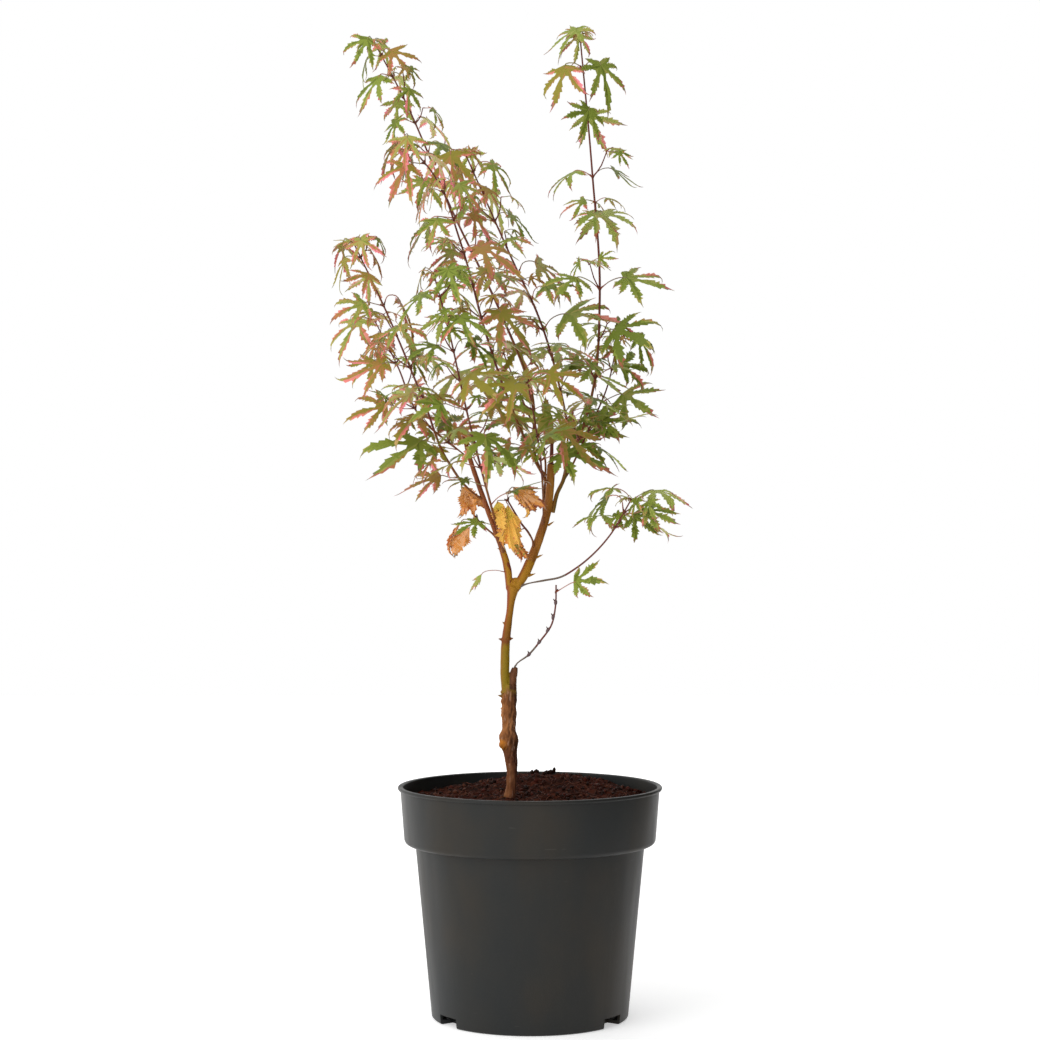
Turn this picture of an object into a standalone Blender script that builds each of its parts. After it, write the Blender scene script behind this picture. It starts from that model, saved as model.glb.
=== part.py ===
"""A young Japanese maple in a round nursery pot.

Metres, +Z up. The origin is the middle of the pot's flat underside, and the
front of the plant faces -Y. Routes and sizes are written in millimetres and
turned into metres with MM.
"""

import itertools
import math
import random

import bmesh
import bpy
from mathutils import Quaternion, Vector
from mathutils.bvhtree import BVHTree

MM = 0.001
GAP = 0.3 * MM
MERGES = (0.006 * MM, 0.003 * MM, 0.0015 * MM)
UP = Vector((0, 0, 1))

# Pot: a plain round container with a deep collar under its rim.
SEGMENTS = 48
POT_HEIGHT = 165 * MM
RIM_RADIUS = 95 * MM
RIM_BAND = 2.6 * MM
COLLAR_TOP_RADIUS = 93.1 * MM
COLLAR_LOW_RADIUS = 90.4 * MM
COLLAR_BOTTOM = 124 * MM
COLLAR_ROUND = 1.5 * MM
BODY_RADIUS = 82.4 * MM
FOOT_RADIUS = 70.7 * MM
FOOT_ROUND = 1.5 * MM
WALL = 1.8 * MM
FLOOR = 2.5 * MM
SLOT_ANGLE = 55
SLOT_WIDTH = 20 * MM
SLOT_DEPTH = 11 * MM
SLOT_HEIGHT = 7.2 * MM

# Soil: it fills the pot and rises in a mound behind the trunk.
SOIL_LEVEL = 154.5 * MM
SOIL_FOOT_INSET = 15 * MM
SOIL_FOOT_RISE = 11 * MM
SOIL_RINGS = 5
MOUND_PLACE = Vector((12, 56)) * MM
MOUND_HEIGHT = 11 * MM
MOUND_SPREAD = 38 * MM
SOIL_LUMP = 1.2 * MM
SOIL_SEED = 5
SEAT_RADIUS = 11 * MM

# Trunk: a stout rootstock cut off above the graft, and the slim scion beside it.
# Each point is across, back, up and the radius there.
TRUNK_SIDES = 10
STOCK_STEPS = 22
STUB_STEPS = 4
SCION_STEPS = 12
STOCK = (
    (-14.2, -6, 157, 4.6),
    (-13.9, -6, 160, 4.2),
    (-13.5, -6, 183, 4.2),
    (-14.4, -5.6, 191, 5.4),
    (-15.4, -5.4, 198.5, 6.9),
    (-15.2, -5, 206, 5.0),
    (-15, -4.5, 212, 5.2),
    (-15.2, -4, 219, 5.4),
    (-14.8, -4, 229, 5.2),
    (-14, -4, 238, 4.2),
)
STUB = ((-13.4, -4, 233, 3.0), (-12.2, -4, 243, 2.7), (-11, -4, 250, 2.1))
SCION = (
    (-16, -4, 229, 3.3),
    (-18, -4, 241, 3.1),
    (-18, -3.4, 252, 3.3),
    (-17.4, -3, 269, 3.1),
    (-16, -2.6, 280, 2.9),
    (-14.7, -2.2, 289, 2.5),
    (-13.5, -2, 299, 3.1),
    (-12.2, -2, 308, 4.6),
)

# Limbs that grow from the trunk, drawn the same way.
LIMB_SIDES = 8
LEFT_STEPS = 12
RIGHT_STEPS = 16
LEFT_LEADER = (
    (-15.1, -2, 308.3, 2.3),
    (-15.8, -3, 319, 2.7),
    (-18.6, -4.2, 331, 2.3),
    (-23.6, -6, 345, 2.1),
    (-30.6, -9, 364, 1.9),
    (-37, -12, 382, 1.8),
    (-42.6, -15, 399, 1.7),
    (-47.4, -18, 417, 1.5),
)
RIGHT_LEADER = (
    (-9.4, -2, 308.3, 3.0),
    (-4, -0.6, 317, 3.4),
    (1, 2, 328, 3.4),
    (6.4, 5, 342, 3.2),
    (12, 8, 360, 3.0),
    (14.4, 11, 378, 3.0),
    (15.4, 14, 396, 2.9),
    (15.6, 14.6, 398, 1.5),
    (16, 16, 413, 1.3),
)
OUTER_SHOOT = ((19.4, 12, 374), (23.6, 14, 383), (26.6, 17, 396), (27.4, 20, 411))
OUTER_RADII = (1.6, 1.3)
OUTER_AT = 0.55

# Shoots: the limb each leaves and how far up it, the rest of its route, its
# radii, where its pairs of leaves stand in hundredths of its length, the way
# the lowest pair faces, the length of a stalk at the foot and at the tip, the
# leaf's length, how far leaves hang down at the foot and at the tip in degrees,
# and the seed of its small differences.
SHOOTS = (
    dict(
        name="twig_low",
        limb="stub",
        at=1.0,
        route=(
            (-6, -6, 254.5),
            (0, -9, 260.6),
            (7.1, -14, 269.5),
            (13.5, -19, 277.6),
            (17, -23, 288),
            (18.3, -29, 310),
        ),
        halves=(0,),
        radii=(1.0, 0.75),
        nodes=(93,),
        facing=30,
        stalk=(15, 13),
        leaf=42,
        hang=(-5, 5),
        seed=683,
    ),
    dict(
        name="spray_right_low",
        limb="right_leader",
        at=0.03,
        route=((20, -12, 314.5), (38, -25, 326), (55, -40, 344), (70, -55, 370)),
        radii=(1.0, 0.75),
        nodes=(78, 90, 100),
        facing=40,
        stalk=(20, 20),
        leaf=45,
        hang=(0, 25),
        seed=359,
    ),
    dict(
        name="twig_yellow",
        limb="right_leader",
        at=0.3,
        route=((-4, -9, 350), (-16, -20, 370)),
        radii=(1.2, 0.8),
        nodes=(100,),
        facing=-10,
        stalk=(14, 8),
        leaf=33,
        hang=(60, 75),
        seed=655,
    ),
    dict(
        name="twig_rust",
        limb="left_leader",
        at=0.34,
        route=((-36, 2, 354), (-49, 12, 376)),
        radii=(1.2, 0.8),
        nodes=(45, 100),
        facing=-20,
        stalk=(14, 10),
        leaf=33,
        hang=(45, 60),
        seed=240,
    ),
    dict(
        name="shoot_far_left",
        limb="left_leader",
        at=0.6,
        route=((-58, -22, 397), (-75, -38, 440), (-103, -52, 507), (-123, -60, 549)),
        radii=(1.3, 0.7),
        nodes=(40, 53, 65, 76, 86, 94, 100),
        facing=-70,
        stalk=(20, 12),
        leaf=40,
        hang=(5, 60),
        seed=421,
    ),
    dict(
        name="shoot_left_low",
        limb="left_leader",
        at=0.86,
        route=((-63, -6, 415), (-79, 9, 430), (-98, 35, 471), (-115, 50, 504)),
        radii=(1.2, 0.65),
        nodes=(12, 27, 42, 56, 72, 88, 100),
        facing=10,
        stalk=(22, 12),
        leaf=42,
        hang=(5, 50),
        seed=146,
    ),
    dict(
        name="shoot_inner",
        limb="left_leader",
        at=0.24,
        route=((-29, -30, 371), (-36, -45, 398), (-46, -70, 440), (-55, -84, 482), (-66, -92, 524)),
        radii=(1.25, 0.65),
        nodes=(32, 43, 54, 64, 74, 83, 92, 100),
        facing=30,
        stalk=(22, 14),
        leaf=42,
        hang=(0, 55),
        seed=520,
    ),
    dict(
        name="shoot_tall_left",
        limb="right_leader",
        at=0.79,
        route=((2, 28, 446), (-21, 45, 508), (-57, 62, 585), (-95, 75, 674), (-118, 80, 718)),
        radii=(1.5, 0.7),
        nodes=(42, 50, 58, 66, 73, 80, 86, 91, 96, 100),
        facing=-50,
        stalk=(26, 12),
        leaf=40,
        hang=(10, 65),
        seed=90,
    ),
    dict(
        name="shoot_mid_left",
        limb="right_leader",
        at=0.74,
        route=((-17, -8, 446), (-31, -22, 487), (-49, -42, 551), (-65, -52, 593), (-87, -58, 620)),
        radii=(1.4, 0.7),
        nodes=(27, 38, 48, 57, 66, 75, 83, 92, 100),
        facing=-50,
        stalk=(26, 13),
        leaf=42,
        hang=(5, 65),
        seed=135,
    ),
    dict(
        name="shoot_middle",
        limb="outer_shoot",
        at=1.0,
        route=((20, 15, 459), (7, 8, 501), (-13, 2, 544), (-47, -5, 620)),
        radii=(1.25, 0.7),
        nodes=(18, 28, 38, 48, 58, 67, 76, 85, 93, 100),
        facing=0,
        stalk=(28, 12),
        leaf=43,
        hang=(0, 60),
        seed=191,
    ),
    dict(
        name="shoot_tall_right",
        limb="outer_shoot",
        at=0.8,
        route=((44, 10, 443), (50, -5, 516), (44, -20, 605), (35, -30, 700)),
        radii=(1.4, 0.7),
        nodes=(5, 12, 20, 29, 41, 57, 67, 81, 92, 100),
        facing=0,
        stalk=(26, 11),
        leaf=42,
        hang=(0, 65),
        seed=399,
    ),
    dict(
        name="shoot_right_back",
        limb="outer_shoot",
        at=0.45,
        route=((44, 38, 424), (58, 56, 456), (66, 66, 492)),
        radii=(1.1, 0.65),
        nodes=(38, 58, 80, 100),
        facing=70,
        stalk=(22, 14),
        leaf=41,
        hang=(0, 45),
        seed=446,
    ),
    dict(
        name="shoot_front",
        limb="right_leader",
        at=0.46,
        route=((8, -26, 392), (3, -62, 425), (-2, -88, 450)),
        radii=(1.1, 0.65),
        nodes=(42, 60, 80, 100),
        facing=-30,
        stalk=(22, 14),
        leaf=41,
        hang=(0, 40),
        seed=42,
    ),
    dict(
        name="shoot_back",
        limb="right_leader",
        at=0.54,
        route=((11, 42, 404), (-4, 82, 443), (-20, 104, 484)),
        radii=(1.2, 0.65),
        nodes=(35, 50, 66, 83, 100),
        facing=-60,
        stalk=(22, 14),
        leaf=42,
        hang=(0, 45),
        seed=189,
    ),
)

# The rule that every shoot follows.
SHOOT_SIDES = 5
STEM_STEP = 15 * MM
PAIR_TURN = 90
LAST_SHARE = 0.995
TRIES = (0, 24, -24, 48, -48)
FORK_TILT = math.radians(50)
FACE_FRONT = Vector((0, -0.6, 0))
LEAF_SHRINK = 0.3
LEAST_BEND = 0.4
HANG_RISE = 1.5
STALK_OUT = 0.8
STALK_UP = 0.6
STALK_LIFT = 0.35
STALK_SUNK = 0.15 * MM
STALK_DROP = 0.5
STALK_RADII = (0.7 * MM, 0.55 * MM, 0.6 * MM)
CLEARANCE = 0.5 * MM

# The small differences between leaves, in the order that they are drawn: turns
# in degrees, and the rest in shares.
DRAWS = dict(
    turn=(-20, 20),
    stalk=(0.8, 1.2),
    hang=(-22, 18),
    swing=(-24, 24),
    roll=(-34, 34),
    size=(0.66, 1.14),
    bend=(0.1, 0.34),
    curl=(0.0, 0.3),
)

# Leaf: five pointed lobes that spread from the end of the stalk, as shares of
# the middle lobe's length.
LOBE_ANGLES = (-84, -42, 0, 42, 84)
LOBE_LENGTHS = (0.54, 0.85, 1.0, 0.85, 0.54)
LOBE_WIDE_AT = 0.47
LOBE_HALF_WIDTH = 0.1
LEAST_WIDTH = 0.6
NOTCH_DEPTH = 0.18
FOOT_NOTCH = 0.08
LEAF_THICKNESS = 1.1 * MM

# Colours, and how far round faces may turn before an edge shows sharp.
PLASTIC_COLOUR = (0.045, 0.047, 0.049)
SOIL_COLOUR = (0.05, 0.022, 0.014)
BARK_COLOUR = (0.13, 0.075, 0.045)
YOUNG_BARK_COLOUR = (0.2, 0.1, 0.045)
LEAF_COLOUR = (0.1, 0.17, 0.03)
AUTUMN_COLOUR = (0.35, 0.17, 0.03)
AUTUMN_SHOOTS = ("twig_yellow", "twig_rust")
POT_ANGLE = 35
PLANT_ANGLE = 50


def metres(point):
    return Vector(point[:3]) * MM


def smooth_route(points, steps):
    """Points about evenly apart on a smooth curve through the given ones."""
    spans = [(b - a).length for a, b in zip(points, points[1:])]
    ways = [(b - a) / span for a, b, span in zip(points, points[1:], spans)]
    slopes = [ways[0]]
    for before, after, near, far in zip(ways, ways[1:], spans, spans[1:]):
        slopes.append((before * far + after * near) / (near + far))
    slopes.append(ways[-1])
    route = []
    for step in range(steps + 1):
        left = step / steps * sum(spans)
        i = 0
        while i < len(spans) - 1 and left > spans[i]:
            left -= spans[i]
            i += 1
        t = left / spans[i]
        start = (2 * t**3 - 3 * t**2 + 1) * points[i] + (3 * t**2 - 2 * t**3) * points[i + 1]
        pull = (t**3 - 2 * t**2 + t) * slopes[i] + (t**3 - t**2) * slopes[i + 1]
        route.append(start + spans[i] * pull)
    return route


def along(route, share):
    """The place and the direction at a share of a route's length."""
    lengths = [(b - a).length for a, b in zip(route, route[1:])]
    left = share * sum(lengths)
    for a, b, length in zip(route, route[1:], lengths):
        if left <= length:
            return a.lerp(b, left / length), (b - a).normalized()
        left -= length
    return route[-1].copy(), (route[-1] - route[-2]).normalized()


def material(name, colour, roughness):
    made = bpy.data.materials.new(name)
    made.use_nodes = True
    shader = made.node_tree.nodes["Principled BSDF"]
    shader.inputs["Base Color"].default_value = (*colour, 1)
    shader.inputs["Roughness"].default_value = roughness
    shader.inputs["Metallic"].default_value = 0
    return made


def add_object(name, points, faces, finish=None):
    mesh = bpy.data.meshes.new(name)
    mesh.from_pydata(points, [], faces)
    mesh.validate()
    made = bpy.data.objects.new(name, mesh)
    bpy.context.scene.collection.objects.link(made)
    if finish:
        mesh.materials.append(finish)
    return made


def shade(made, angle):
    made.data.shade_smooth()
    made.data.set_sharp_from_angle(angle=math.radians(angle))


def tube(route, radii, sides, first=None, last=None):
    """Points and triangles of a closed limb; first and last turn its end faces."""
    points = []
    across = None
    for i, centre in enumerate(route):
        before = route[max(i - 1, 0)]
        after = route[min(i + 1, len(route) - 1)]
        heading = (after - before).normalized()
        if first and i == 0:
            heading = first
        if last and i == len(route) - 1:
            heading = last
        if across is None:
            across = heading.orthogonal()
        across = (across - heading * across.dot(heading)).normalized()
        other = heading.cross(across)
        for side in range(sides):
            turn = 2 * math.pi * side / sides
            points.append(centre + radii[i] * (math.cos(turn) * across + math.sin(turn) * other))
    faces = []
    for ring in range(len(route) - 1):
        for side in range(sides):
            a = ring * sides + side
            b = ring * sides + (side + 1) % sides
            faces += [(a, b, b + sides), (a, b + sides, a + sides)]
    faces.append(tuple(reversed(range(sides))))
    faces.append(tuple(range(len(points) - sides, len(points))))
    return points, faces


def profiled(points, steps):
    """A smooth route through points that carry a radius, and its radii."""
    rows = smooth_route([Vector(point) * MM for point in points], steps)
    return [row.xyz for row in rows], [row.w for row in rows]


def join(first, others):
    """Joins objects that run into each other into one solid with one Boolean."""
    pieces = bpy.data.collections.new(first.name + "_pieces")
    bpy.context.scene.collection.children.link(pieces)
    for piece in others:
        pieces.objects.link(piece)
    union = first.modifiers.new("union", "BOOLEAN")
    union.operation = "UNION"
    union.operand_type = "COLLECTION"
    union.collection = pieces
    for solver, merge in itertools.product(("EXACT", "MANIFOLD"), MERGES):
        union.solver = solver
        bpy.context.view_layer.update()
        finished = first.evaluated_get(bpy.context.evaluated_depsgraph_get())
        mesh = bpy.data.meshes.new_from_object(finished)
        if tidy(mesh, merge):
            break
    first.modifiers.clear()
    first.data = mesh
    for piece in others:
        bpy.data.objects.remove(piece)
    bpy.data.collections.remove(pieces)


def islands(mesh):
    """The groups of faces that hang together."""
    left = set(mesh.faces)
    groups = []
    while left:
        group = {left.pop()}
        border = list(group)
        while border:
            for edge in border.pop().edges:
                fresh = [face for face in edge.link_faces if face in left]
                left.difference_update(fresh)
                group.update(fresh)
                border += fresh
        groups.append(group)
    return groups


def tidy(data, merge):
    """Merges points that lie together, keeps the largest body and says if it is closed."""
    mesh = bmesh.new()
    mesh.from_mesh(data)
    bmesh.ops.remove_doubles(mesh, verts=mesh.verts, dist=merge)
    bmesh.ops.dissolve_degenerate(mesh, edges=mesh.edges, dist=merge)
    bmesh.ops.triangulate(mesh, faces=mesh.faces)
    largest = max(islands(mesh), key=len)
    scrap = [face for face in mesh.faces if face not in largest]
    bmesh.ops.delete(mesh, geom=scrap, context="FACES")
    loose = [edge for edge in mesh.edges if not edge.link_faces]
    bmesh.ops.delete(mesh, geom=loose, context="EDGES")
    closed = all(len(edge.link_faces) == 2 for edge in mesh.edges)
    mesh.to_mesh(data)
    mesh.free()
    return closed


def turned(name, profile, finish):
    """A solid of revolution from its outline of radius and height."""
    mesh = bmesh.new()
    line = [mesh.verts.new((radius, 0, height)) for radius, height in profile]
    sides = [mesh.edges.new(pair) for pair in zip(line, line[1:])]
    bmesh.ops.spin(
        mesh, geom=line + sides, axis=UP, cent=(0, 0, 0), steps=SEGMENTS, angle=2 * math.pi
    )
    bmesh.ops.remove_doubles(mesh, verts=mesh.verts, dist=MERGES[0])
    bmesh.ops.recalc_face_normals(mesh, faces=mesh.faces)
    made = add_object(name, [], [], finish)
    mesh.to_mesh(made.data)
    mesh.free()
    return made


def cut_slots(pot):
    """Drain slots through the corner of the floor and the wall, on both sides."""
    turns = (SLOT_ANGLE, -SLOT_ANGLE, 180 - SLOT_ANGLE, SLOT_ANGLE - 180)
    for turn in turns:
        bpy.ops.mesh.primitive_cube_add(size=1)
        cutter = bpy.context.object
        cutter.name = f"slot_cutter_{turn}"
        cutter.dimensions = (SLOT_WIDTH, 2 * SLOT_DEPTH, 2 * SLOT_HEIGHT)
        way = Quaternion(UP, math.radians(turn))
        cutter.location = way @ Vector((0, -FOOT_RADIUS, 0))
        cutter.rotation_euler = way.to_euler()
        cutter.hide_render = True
        cutter.display_type = "WIRE"
        cut = pot.modifiers.new(cutter.name, "BOOLEAN")
        cut.object = cutter
        cut.solver = "EXACT"


def make_pot():
    step = COLLAR_BOTTOM + WALL
    profile = [
        (0, 0),
        (FOOT_RADIUS - FOOT_ROUND, 0),
        (FOOT_RADIUS, FOOT_ROUND),
        (BODY_RADIUS, COLLAR_BOTTOM),
        (COLLAR_LOW_RADIUS - COLLAR_ROUND, COLLAR_BOTTOM),
        (COLLAR_LOW_RADIUS, COLLAR_BOTTOM + COLLAR_ROUND),
        (COLLAR_TOP_RADIUS, POT_HEIGHT - RIM_BAND),
        (RIM_RADIUS, POT_HEIGHT - RIM_BAND),
        (RIM_RADIUS, POT_HEIGHT),
        (COLLAR_TOP_RADIUS - WALL, POT_HEIGHT),
        (COLLAR_LOW_RADIUS - WALL, step),
        (BODY_RADIUS - WALL, step),
        (FOOT_RADIUS - WALL, FLOOR),
        (0, FLOOR),
    ]
    pot = turned("pot", profile, material("pot_plastic", PLASTIC_COLOUR, 0.55))
    cut_slots(pot)
    shade(pot, POT_ANGLE)


def soil_height(x, y, rng):
    from_mound = (Vector((x, y)) - MOUND_PLACE).length
    mound = MOUND_HEIGHT * math.exp(-((from_mound / MOUND_SPREAD) ** 2) / 2)
    return SOIL_LEVEL + mound + rng.uniform(-SOIL_LUMP, SOIL_LUMP)


def wall_inside(height):
    """The radius of the collar's inner face at a height."""
    share = (height - COLLAR_BOTTOM - WALL) / (POT_HEIGHT - COLLAR_BOTTOM - WALL)
    return COLLAR_LOW_RADIUS - WALL + share * (COLLAR_TOP_RADIUS - COLLAR_LOW_RADIUS)


def make_soil():
    """Rings up the inside of the pot, then rings that close in on the trunk."""
    rng = random.Random(SOIL_SEED)
    seat = metres(STOCK[0]) - GAP * UP
    step = COLLAR_BOTTOM + WALL + GAP
    circle = []
    for side in range(SEGMENTS):
        turn = 2 * math.pi * side / SEGMENTS
        circle.append(Vector((math.cos(turn), math.sin(turn), 0)))
    sizes = [
        (FOOT_RADIUS - SOIL_FOOT_INSET, FLOOR + GAP),
        (FOOT_RADIUS, FLOOR + SOIL_FOOT_RISE),
        (BODY_RADIUS, step),
        (COLLAR_LOW_RADIUS, step),
    ]
    rings = [[(radius - WALL - GAP) * c + height * UP for c in circle] for radius, height in sizes]
    for ring in range(SOIL_RINGS):
        share = 1 - ring / SOIL_RINGS
        row = []
        for c in circle:
            outer = (wall_inside(SOIL_LEVEL) - GAP) * c
            inner = seat + SEAT_RADIUS * c
            place = inner.lerp(outer, share)
            place.z = soil_height(place.x, place.y, rng)
            if ring == 0:
                reach = wall_inside(place.z) - GAP
                place.x, place.y = reach * c.x, reach * c.y
            row.append(place)
        rings.append(row)
    rings.append([seat + SEAT_RADIUS * c for c in circle])
    points = [p for row in rings for p in row]
    faces = []
    for ring in range(len(rings) - 1):
        for side in range(SEGMENTS):
            a = ring * SEGMENTS + side
            b = ring * SEGMENTS + (side + 1) % SEGMENTS
            faces += [(a, b, b + SEGMENTS), (a, b + SEGMENTS, a + SEGMENTS)]
    faces.append(tuple(reversed(range(SEGMENTS))))
    last = (len(rings) - 1) * SEGMENTS
    faces.append(tuple(last + side for side in range(SEGMENTS)))
    soil = add_object("soil", points, faces, material("soil", SOIL_COLOUR, 0.95))
    shade(soil, PLANT_ANGLE)


def make_trunk():
    bark = material("bark", BARK_COLOUR, 0.85)
    pieces = []
    shapes = (("trunk", STOCK, STOCK_STEPS), ("stub", STUB, STUB_STEPS), ("scion", SCION, SCION_STEPS))
    for name, points, steps in shapes:
        route, radii = profiled(points, steps)
        ends = (UP, UP) if name != "stub" else (None, None)
        pieces.append(add_object(name, *tube(route, radii, TRUNK_SIDES, *ends), bark))
    join(pieces[0], pieces[1:])
    shade(pieces[0], PLANT_ANGLE)


def limb_shapes():
    """Every limb that a shoot may leave: its route, radii and end faces."""
    shapes = {"stub": (*profiled(STUB, STUB_STEPS), None, None)}
    shapes["left_leader"] = (*profiled(LEFT_LEADER, LEFT_STEPS), UP, None)
    shapes["right_leader"] = (*profiled(RIGHT_LEADER, RIGHT_STEPS), UP, None)
    radii = [radius * MM for radius in OUTER_RADII]
    shapes["outer_shoot"] = stem(shapes["right_leader"], OUTER_AT, OUTER_SHOOT, radii)
    return shapes


def stem(limb, share, points, radii):
    """A shoot's route from just clear of its limb, its radii and its foot's heading."""
    route, limb_radii, _, _ = limb
    place, heading = along(route, share)
    onward = metres(points[0]) - place
    if share == 1.0:
        facing = heading
        start = place + GAP * facing
    else:
        facing = (onward - heading * onward.dot(heading)).normalized()
        girth = limb_radii[round(share * (len(limb_radii) - 1))]
        start = place + (girth + GAP + radii[0] * math.sin(FORK_TILT)) * facing
        facing = facing * math.cos(FORK_TILT) + heading * math.sin(FORK_TILT)
    through = [start, start + facing * 2 * radii[0], *map(metres, points)]
    reach = sum((b - a).length for a, b in zip(through, through[1:]))
    steps = max(round(reach / STEM_STEP), 4)
    made = smooth_route(through, steps)
    wide = [radii[0] + (radii[1] - radii[0]) * i / steps for i in range(steps + 1)]
    return made, wide, facing, None


def make_limbs(shapes):
    for name in ("left_leader", "right_leader", "outer_shoot"):
        bark = material(name, YOUNG_BARK_COLOUR, 0.6)
        route, radii, first, last = shapes[name]
        limb = add_object(name, *tube(route, radii, LIMB_SIDES, first, last), bark)
        shade(limb, PLANT_ANGLE)


def blade_point(leaf, reach, turn, lift):
    """A point of a leaf's blade, bent down towards its tips."""
    size = leaf["size"]
    forward = reach * math.cos(turn) * size
    sideways = reach * math.sin(turn) * size
    lift -= leaf["bend"] * size * reach**2 + leaf["curl"] * sideways**2 / size
    return (
        leaf["base"]
        + leaf["axis"] * forward
        + leaf["side"] * sideways
        + leaf["normal"] * lift
    )


def stalk_rings(leaf, extra):
    """Rings of three points along a leaf's stalk: right, left and below."""
    place, bend, foot = leaf["stalk"]
    headings = (bend - place, foot - place, (foot - bend).normalized() + leaf["axis"])
    across = leaf["side"]
    points = []
    for centre, heading, radius in reversed(list(zip(leaf["stalk"], headings, STALK_RADII))):
        heading = heading.normalized()
        across = (across - heading * across.dot(heading)).normalized()
        below = across.cross(heading)
        reach = radius + extra
        points = [centre + reach * way for way in (across, -across, below)] + points
    return points


def leaf_shape(leaf, extra=0.0):
    """Points of a leaf, with the triangles of its blade and those of its stalk."""
    points = stalk_rings(leaf, extra)
    stalk = [(2, 1, 0)]
    for ring in (0, 3):
        for a, b in ((0, 1), (1, 2), (2, 0)):
            stalk += [(ring + a, ring + b, ring + b + 3), (ring + a, ring + b + 3, ring + a + 3)]
    right, left, below = 6, 7, 8
    top, bottom = 9, 10
    points += [blade_point(leaf, 0, 0, s * (LEAF_THICKNESS / 2 + extra)) for s in (1, -1)]
    outline = [left]
    before = None
    for turn, length in zip(map(math.radians, LOBE_ANGLES), LOBE_LENGTHS):
        half = LOBE_HALF_WIDTH * (LEAST_WIDTH + (1 - LEAST_WIDTH) * length)
        spread = math.atan2(half, LOBE_WIDE_AT * length)
        reach = math.hypot(half, LOBE_WIDE_AT * length)
        marks = [(reach, turn - spread), (length, turn), (reach, turn + spread)]
        if before is not None:
            marks.insert(0, (NOTCH_DEPTH, (before + turn) / 2))
        before = turn
        outline += range(len(points), len(points) + len(marks))
        points += [blade_point(leaf, *mark, 0) for mark in marks]
    outline.append(right)
    blade = [(top, right, left), (bottom, left, below), (bottom, below, right)]
    for a, b in zip(outline, outline[1:]):
        blade += [(top, a, b), (bottom, b, a)]
    return points, blade, stalk


def tree_of(points, faces):
    return BVHTree.FromPolygons(points, faces)


def new_leaf(shoot, place, heading, share, turn, draw):
    """A leaf on its stalk, from its place on the shoot and its small differences."""
    outward = Vector((math.cos(turn), math.sin(turn), 0))
    outward = (outward - heading * outward.dot(heading)).normalized()
    long, short = shoot["stalk"]
    length = (long + share * (short - long)) * draw["stalk"] * MM
    low, high = shoot["hang"]
    hang = math.radians(low + share**HANG_RISE * (high - low) + draw["hang"])
    rise = (outward * STALK_OUT + heading * STALK_UP).normalized()
    flat = Vector((outward.x, outward.y, 0)).normalized()
    level = (flat + UP * (STALK_LIFT - STALK_DROP * math.sin(hang))).normalized()
    place = place + STALK_SUNK * outward
    bend = place + rise * length * 0.5
    foot = bend + level * length * 0.5
    axis = (flat * math.cos(hang) - UP * math.sin(hang)).normalized()
    normal = flat * math.sin(hang) + UP * math.cos(hang) + FACE_FRONT
    normal = (normal - axis * normal.dot(axis)).normalized()
    axis = Quaternion(normal, math.radians(draw["swing"])) @ axis
    normal = Quaternion(axis, math.radians(draw["roll"])) @ normal
    size = shoot["leaf"] * MM * draw["size"] * (1 + LEAF_SHRINK * (0.5 - share))
    return dict(
        base=foot + axis * FOOT_NOTCH * size,
        axis=axis,
        normal=normal,
        side=normal.cross(axis),
        size=size,
        bend=draw["bend"] * (LEAST_BEND + share),
        curl=draw["curl"],
        stalk=[place, bend, foot],
    )


def leaf_draw(rng):
    """The small differences between one leaf and the next."""
    return {name: rng.uniform(*span) for name, span in DRAWS.items()}


def grow(shoot, route, stems, taken):
    """The leaves of one shoot; a leaf that would touch something is turned or left out."""
    rng = random.Random(shoot["seed"])
    others = [tree for name, tree in stems.items() if name != shoot["name"]]
    leaves = []
    for pair, node in enumerate(shoot["nodes"]):
        share = min(node / 100, LAST_SHARE)
        place, heading = along(route, share)
        partner = None
        for half in shoot.get("halves", (0, 180)):
            draw = leaf_draw(rng)
            for extra_turn in TRIES:
                turn = shoot["facing"] + PAIR_TURN * pair + half + draw["turn"] + extra_turn
                leaf = new_leaf(shoot, place, heading, share, math.radians(turn), draw)
                points, blade, stalk = leaf_shape(leaf, CLEARANCE)
                wide, slim = tree_of(points, blade), tree_of(points, stalk)
                hit = any(wide.overlap(tree) for tree in [*stems.values(), *taken])
                far = [tree for tree in [*others, *taken] if tree is not partner]
                if hit or any(slim.overlap(tree) for tree in far):
                    continue
                leaves.append(leaf)
                points, blade, stalk = leaf_shape(leaf)
                partner = tree_of(points, stalk)
                taken += [tree_of(points, blade), partner]
                break
    return leaves


def make_foliage(shapes):
    stems = {name: tree_of(*tube(*s[:2], LIMB_SIDES, *s[2:])) for name, s in shapes.items()}
    routes = {}
    for shoot in SHOOTS:
        radii = [radius * MM for radius in shoot["radii"]]
        made = stem(shapes[shoot["limb"]], shoot["at"], shoot["route"], radii)
        routes[shoot["name"]] = made
        stems[shoot["name"]] = tree_of(*tube(*made[:2], SHOOT_SIDES, *made[2:]))
    taken = []
    for shoot in SHOOTS:
        name = shoot["name"]
        colour = AUTUMN_COLOUR if name in AUTUMN_SHOOTS else LEAF_COLOUR
        leafy = material(name, colour, 0.5)
        made = routes[name]
        whole = add_object(name, *tube(*made[:2], SHOOT_SIDES, *made[2:]), leafy)
        pieces = []
        for leaf in grow(shoot, made[0], stems, taken):
            points, blade, stalk = leaf_shape(leaf)
            pieces.append(add_object("leaf", points, blade + stalk))
        join(whole, pieces)
        shade(whole, PLANT_ANGLE)


def clear_scene():
    for old in list(bpy.data.objects):
        bpy.data.objects.remove(old)


def main():
    clear_scene()
    make_pot()
    make_soil()
    make_trunk()
    shapes = limb_shapes()
    make_limbs(shapes)
    make_foliage(shapes)


main()
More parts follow.
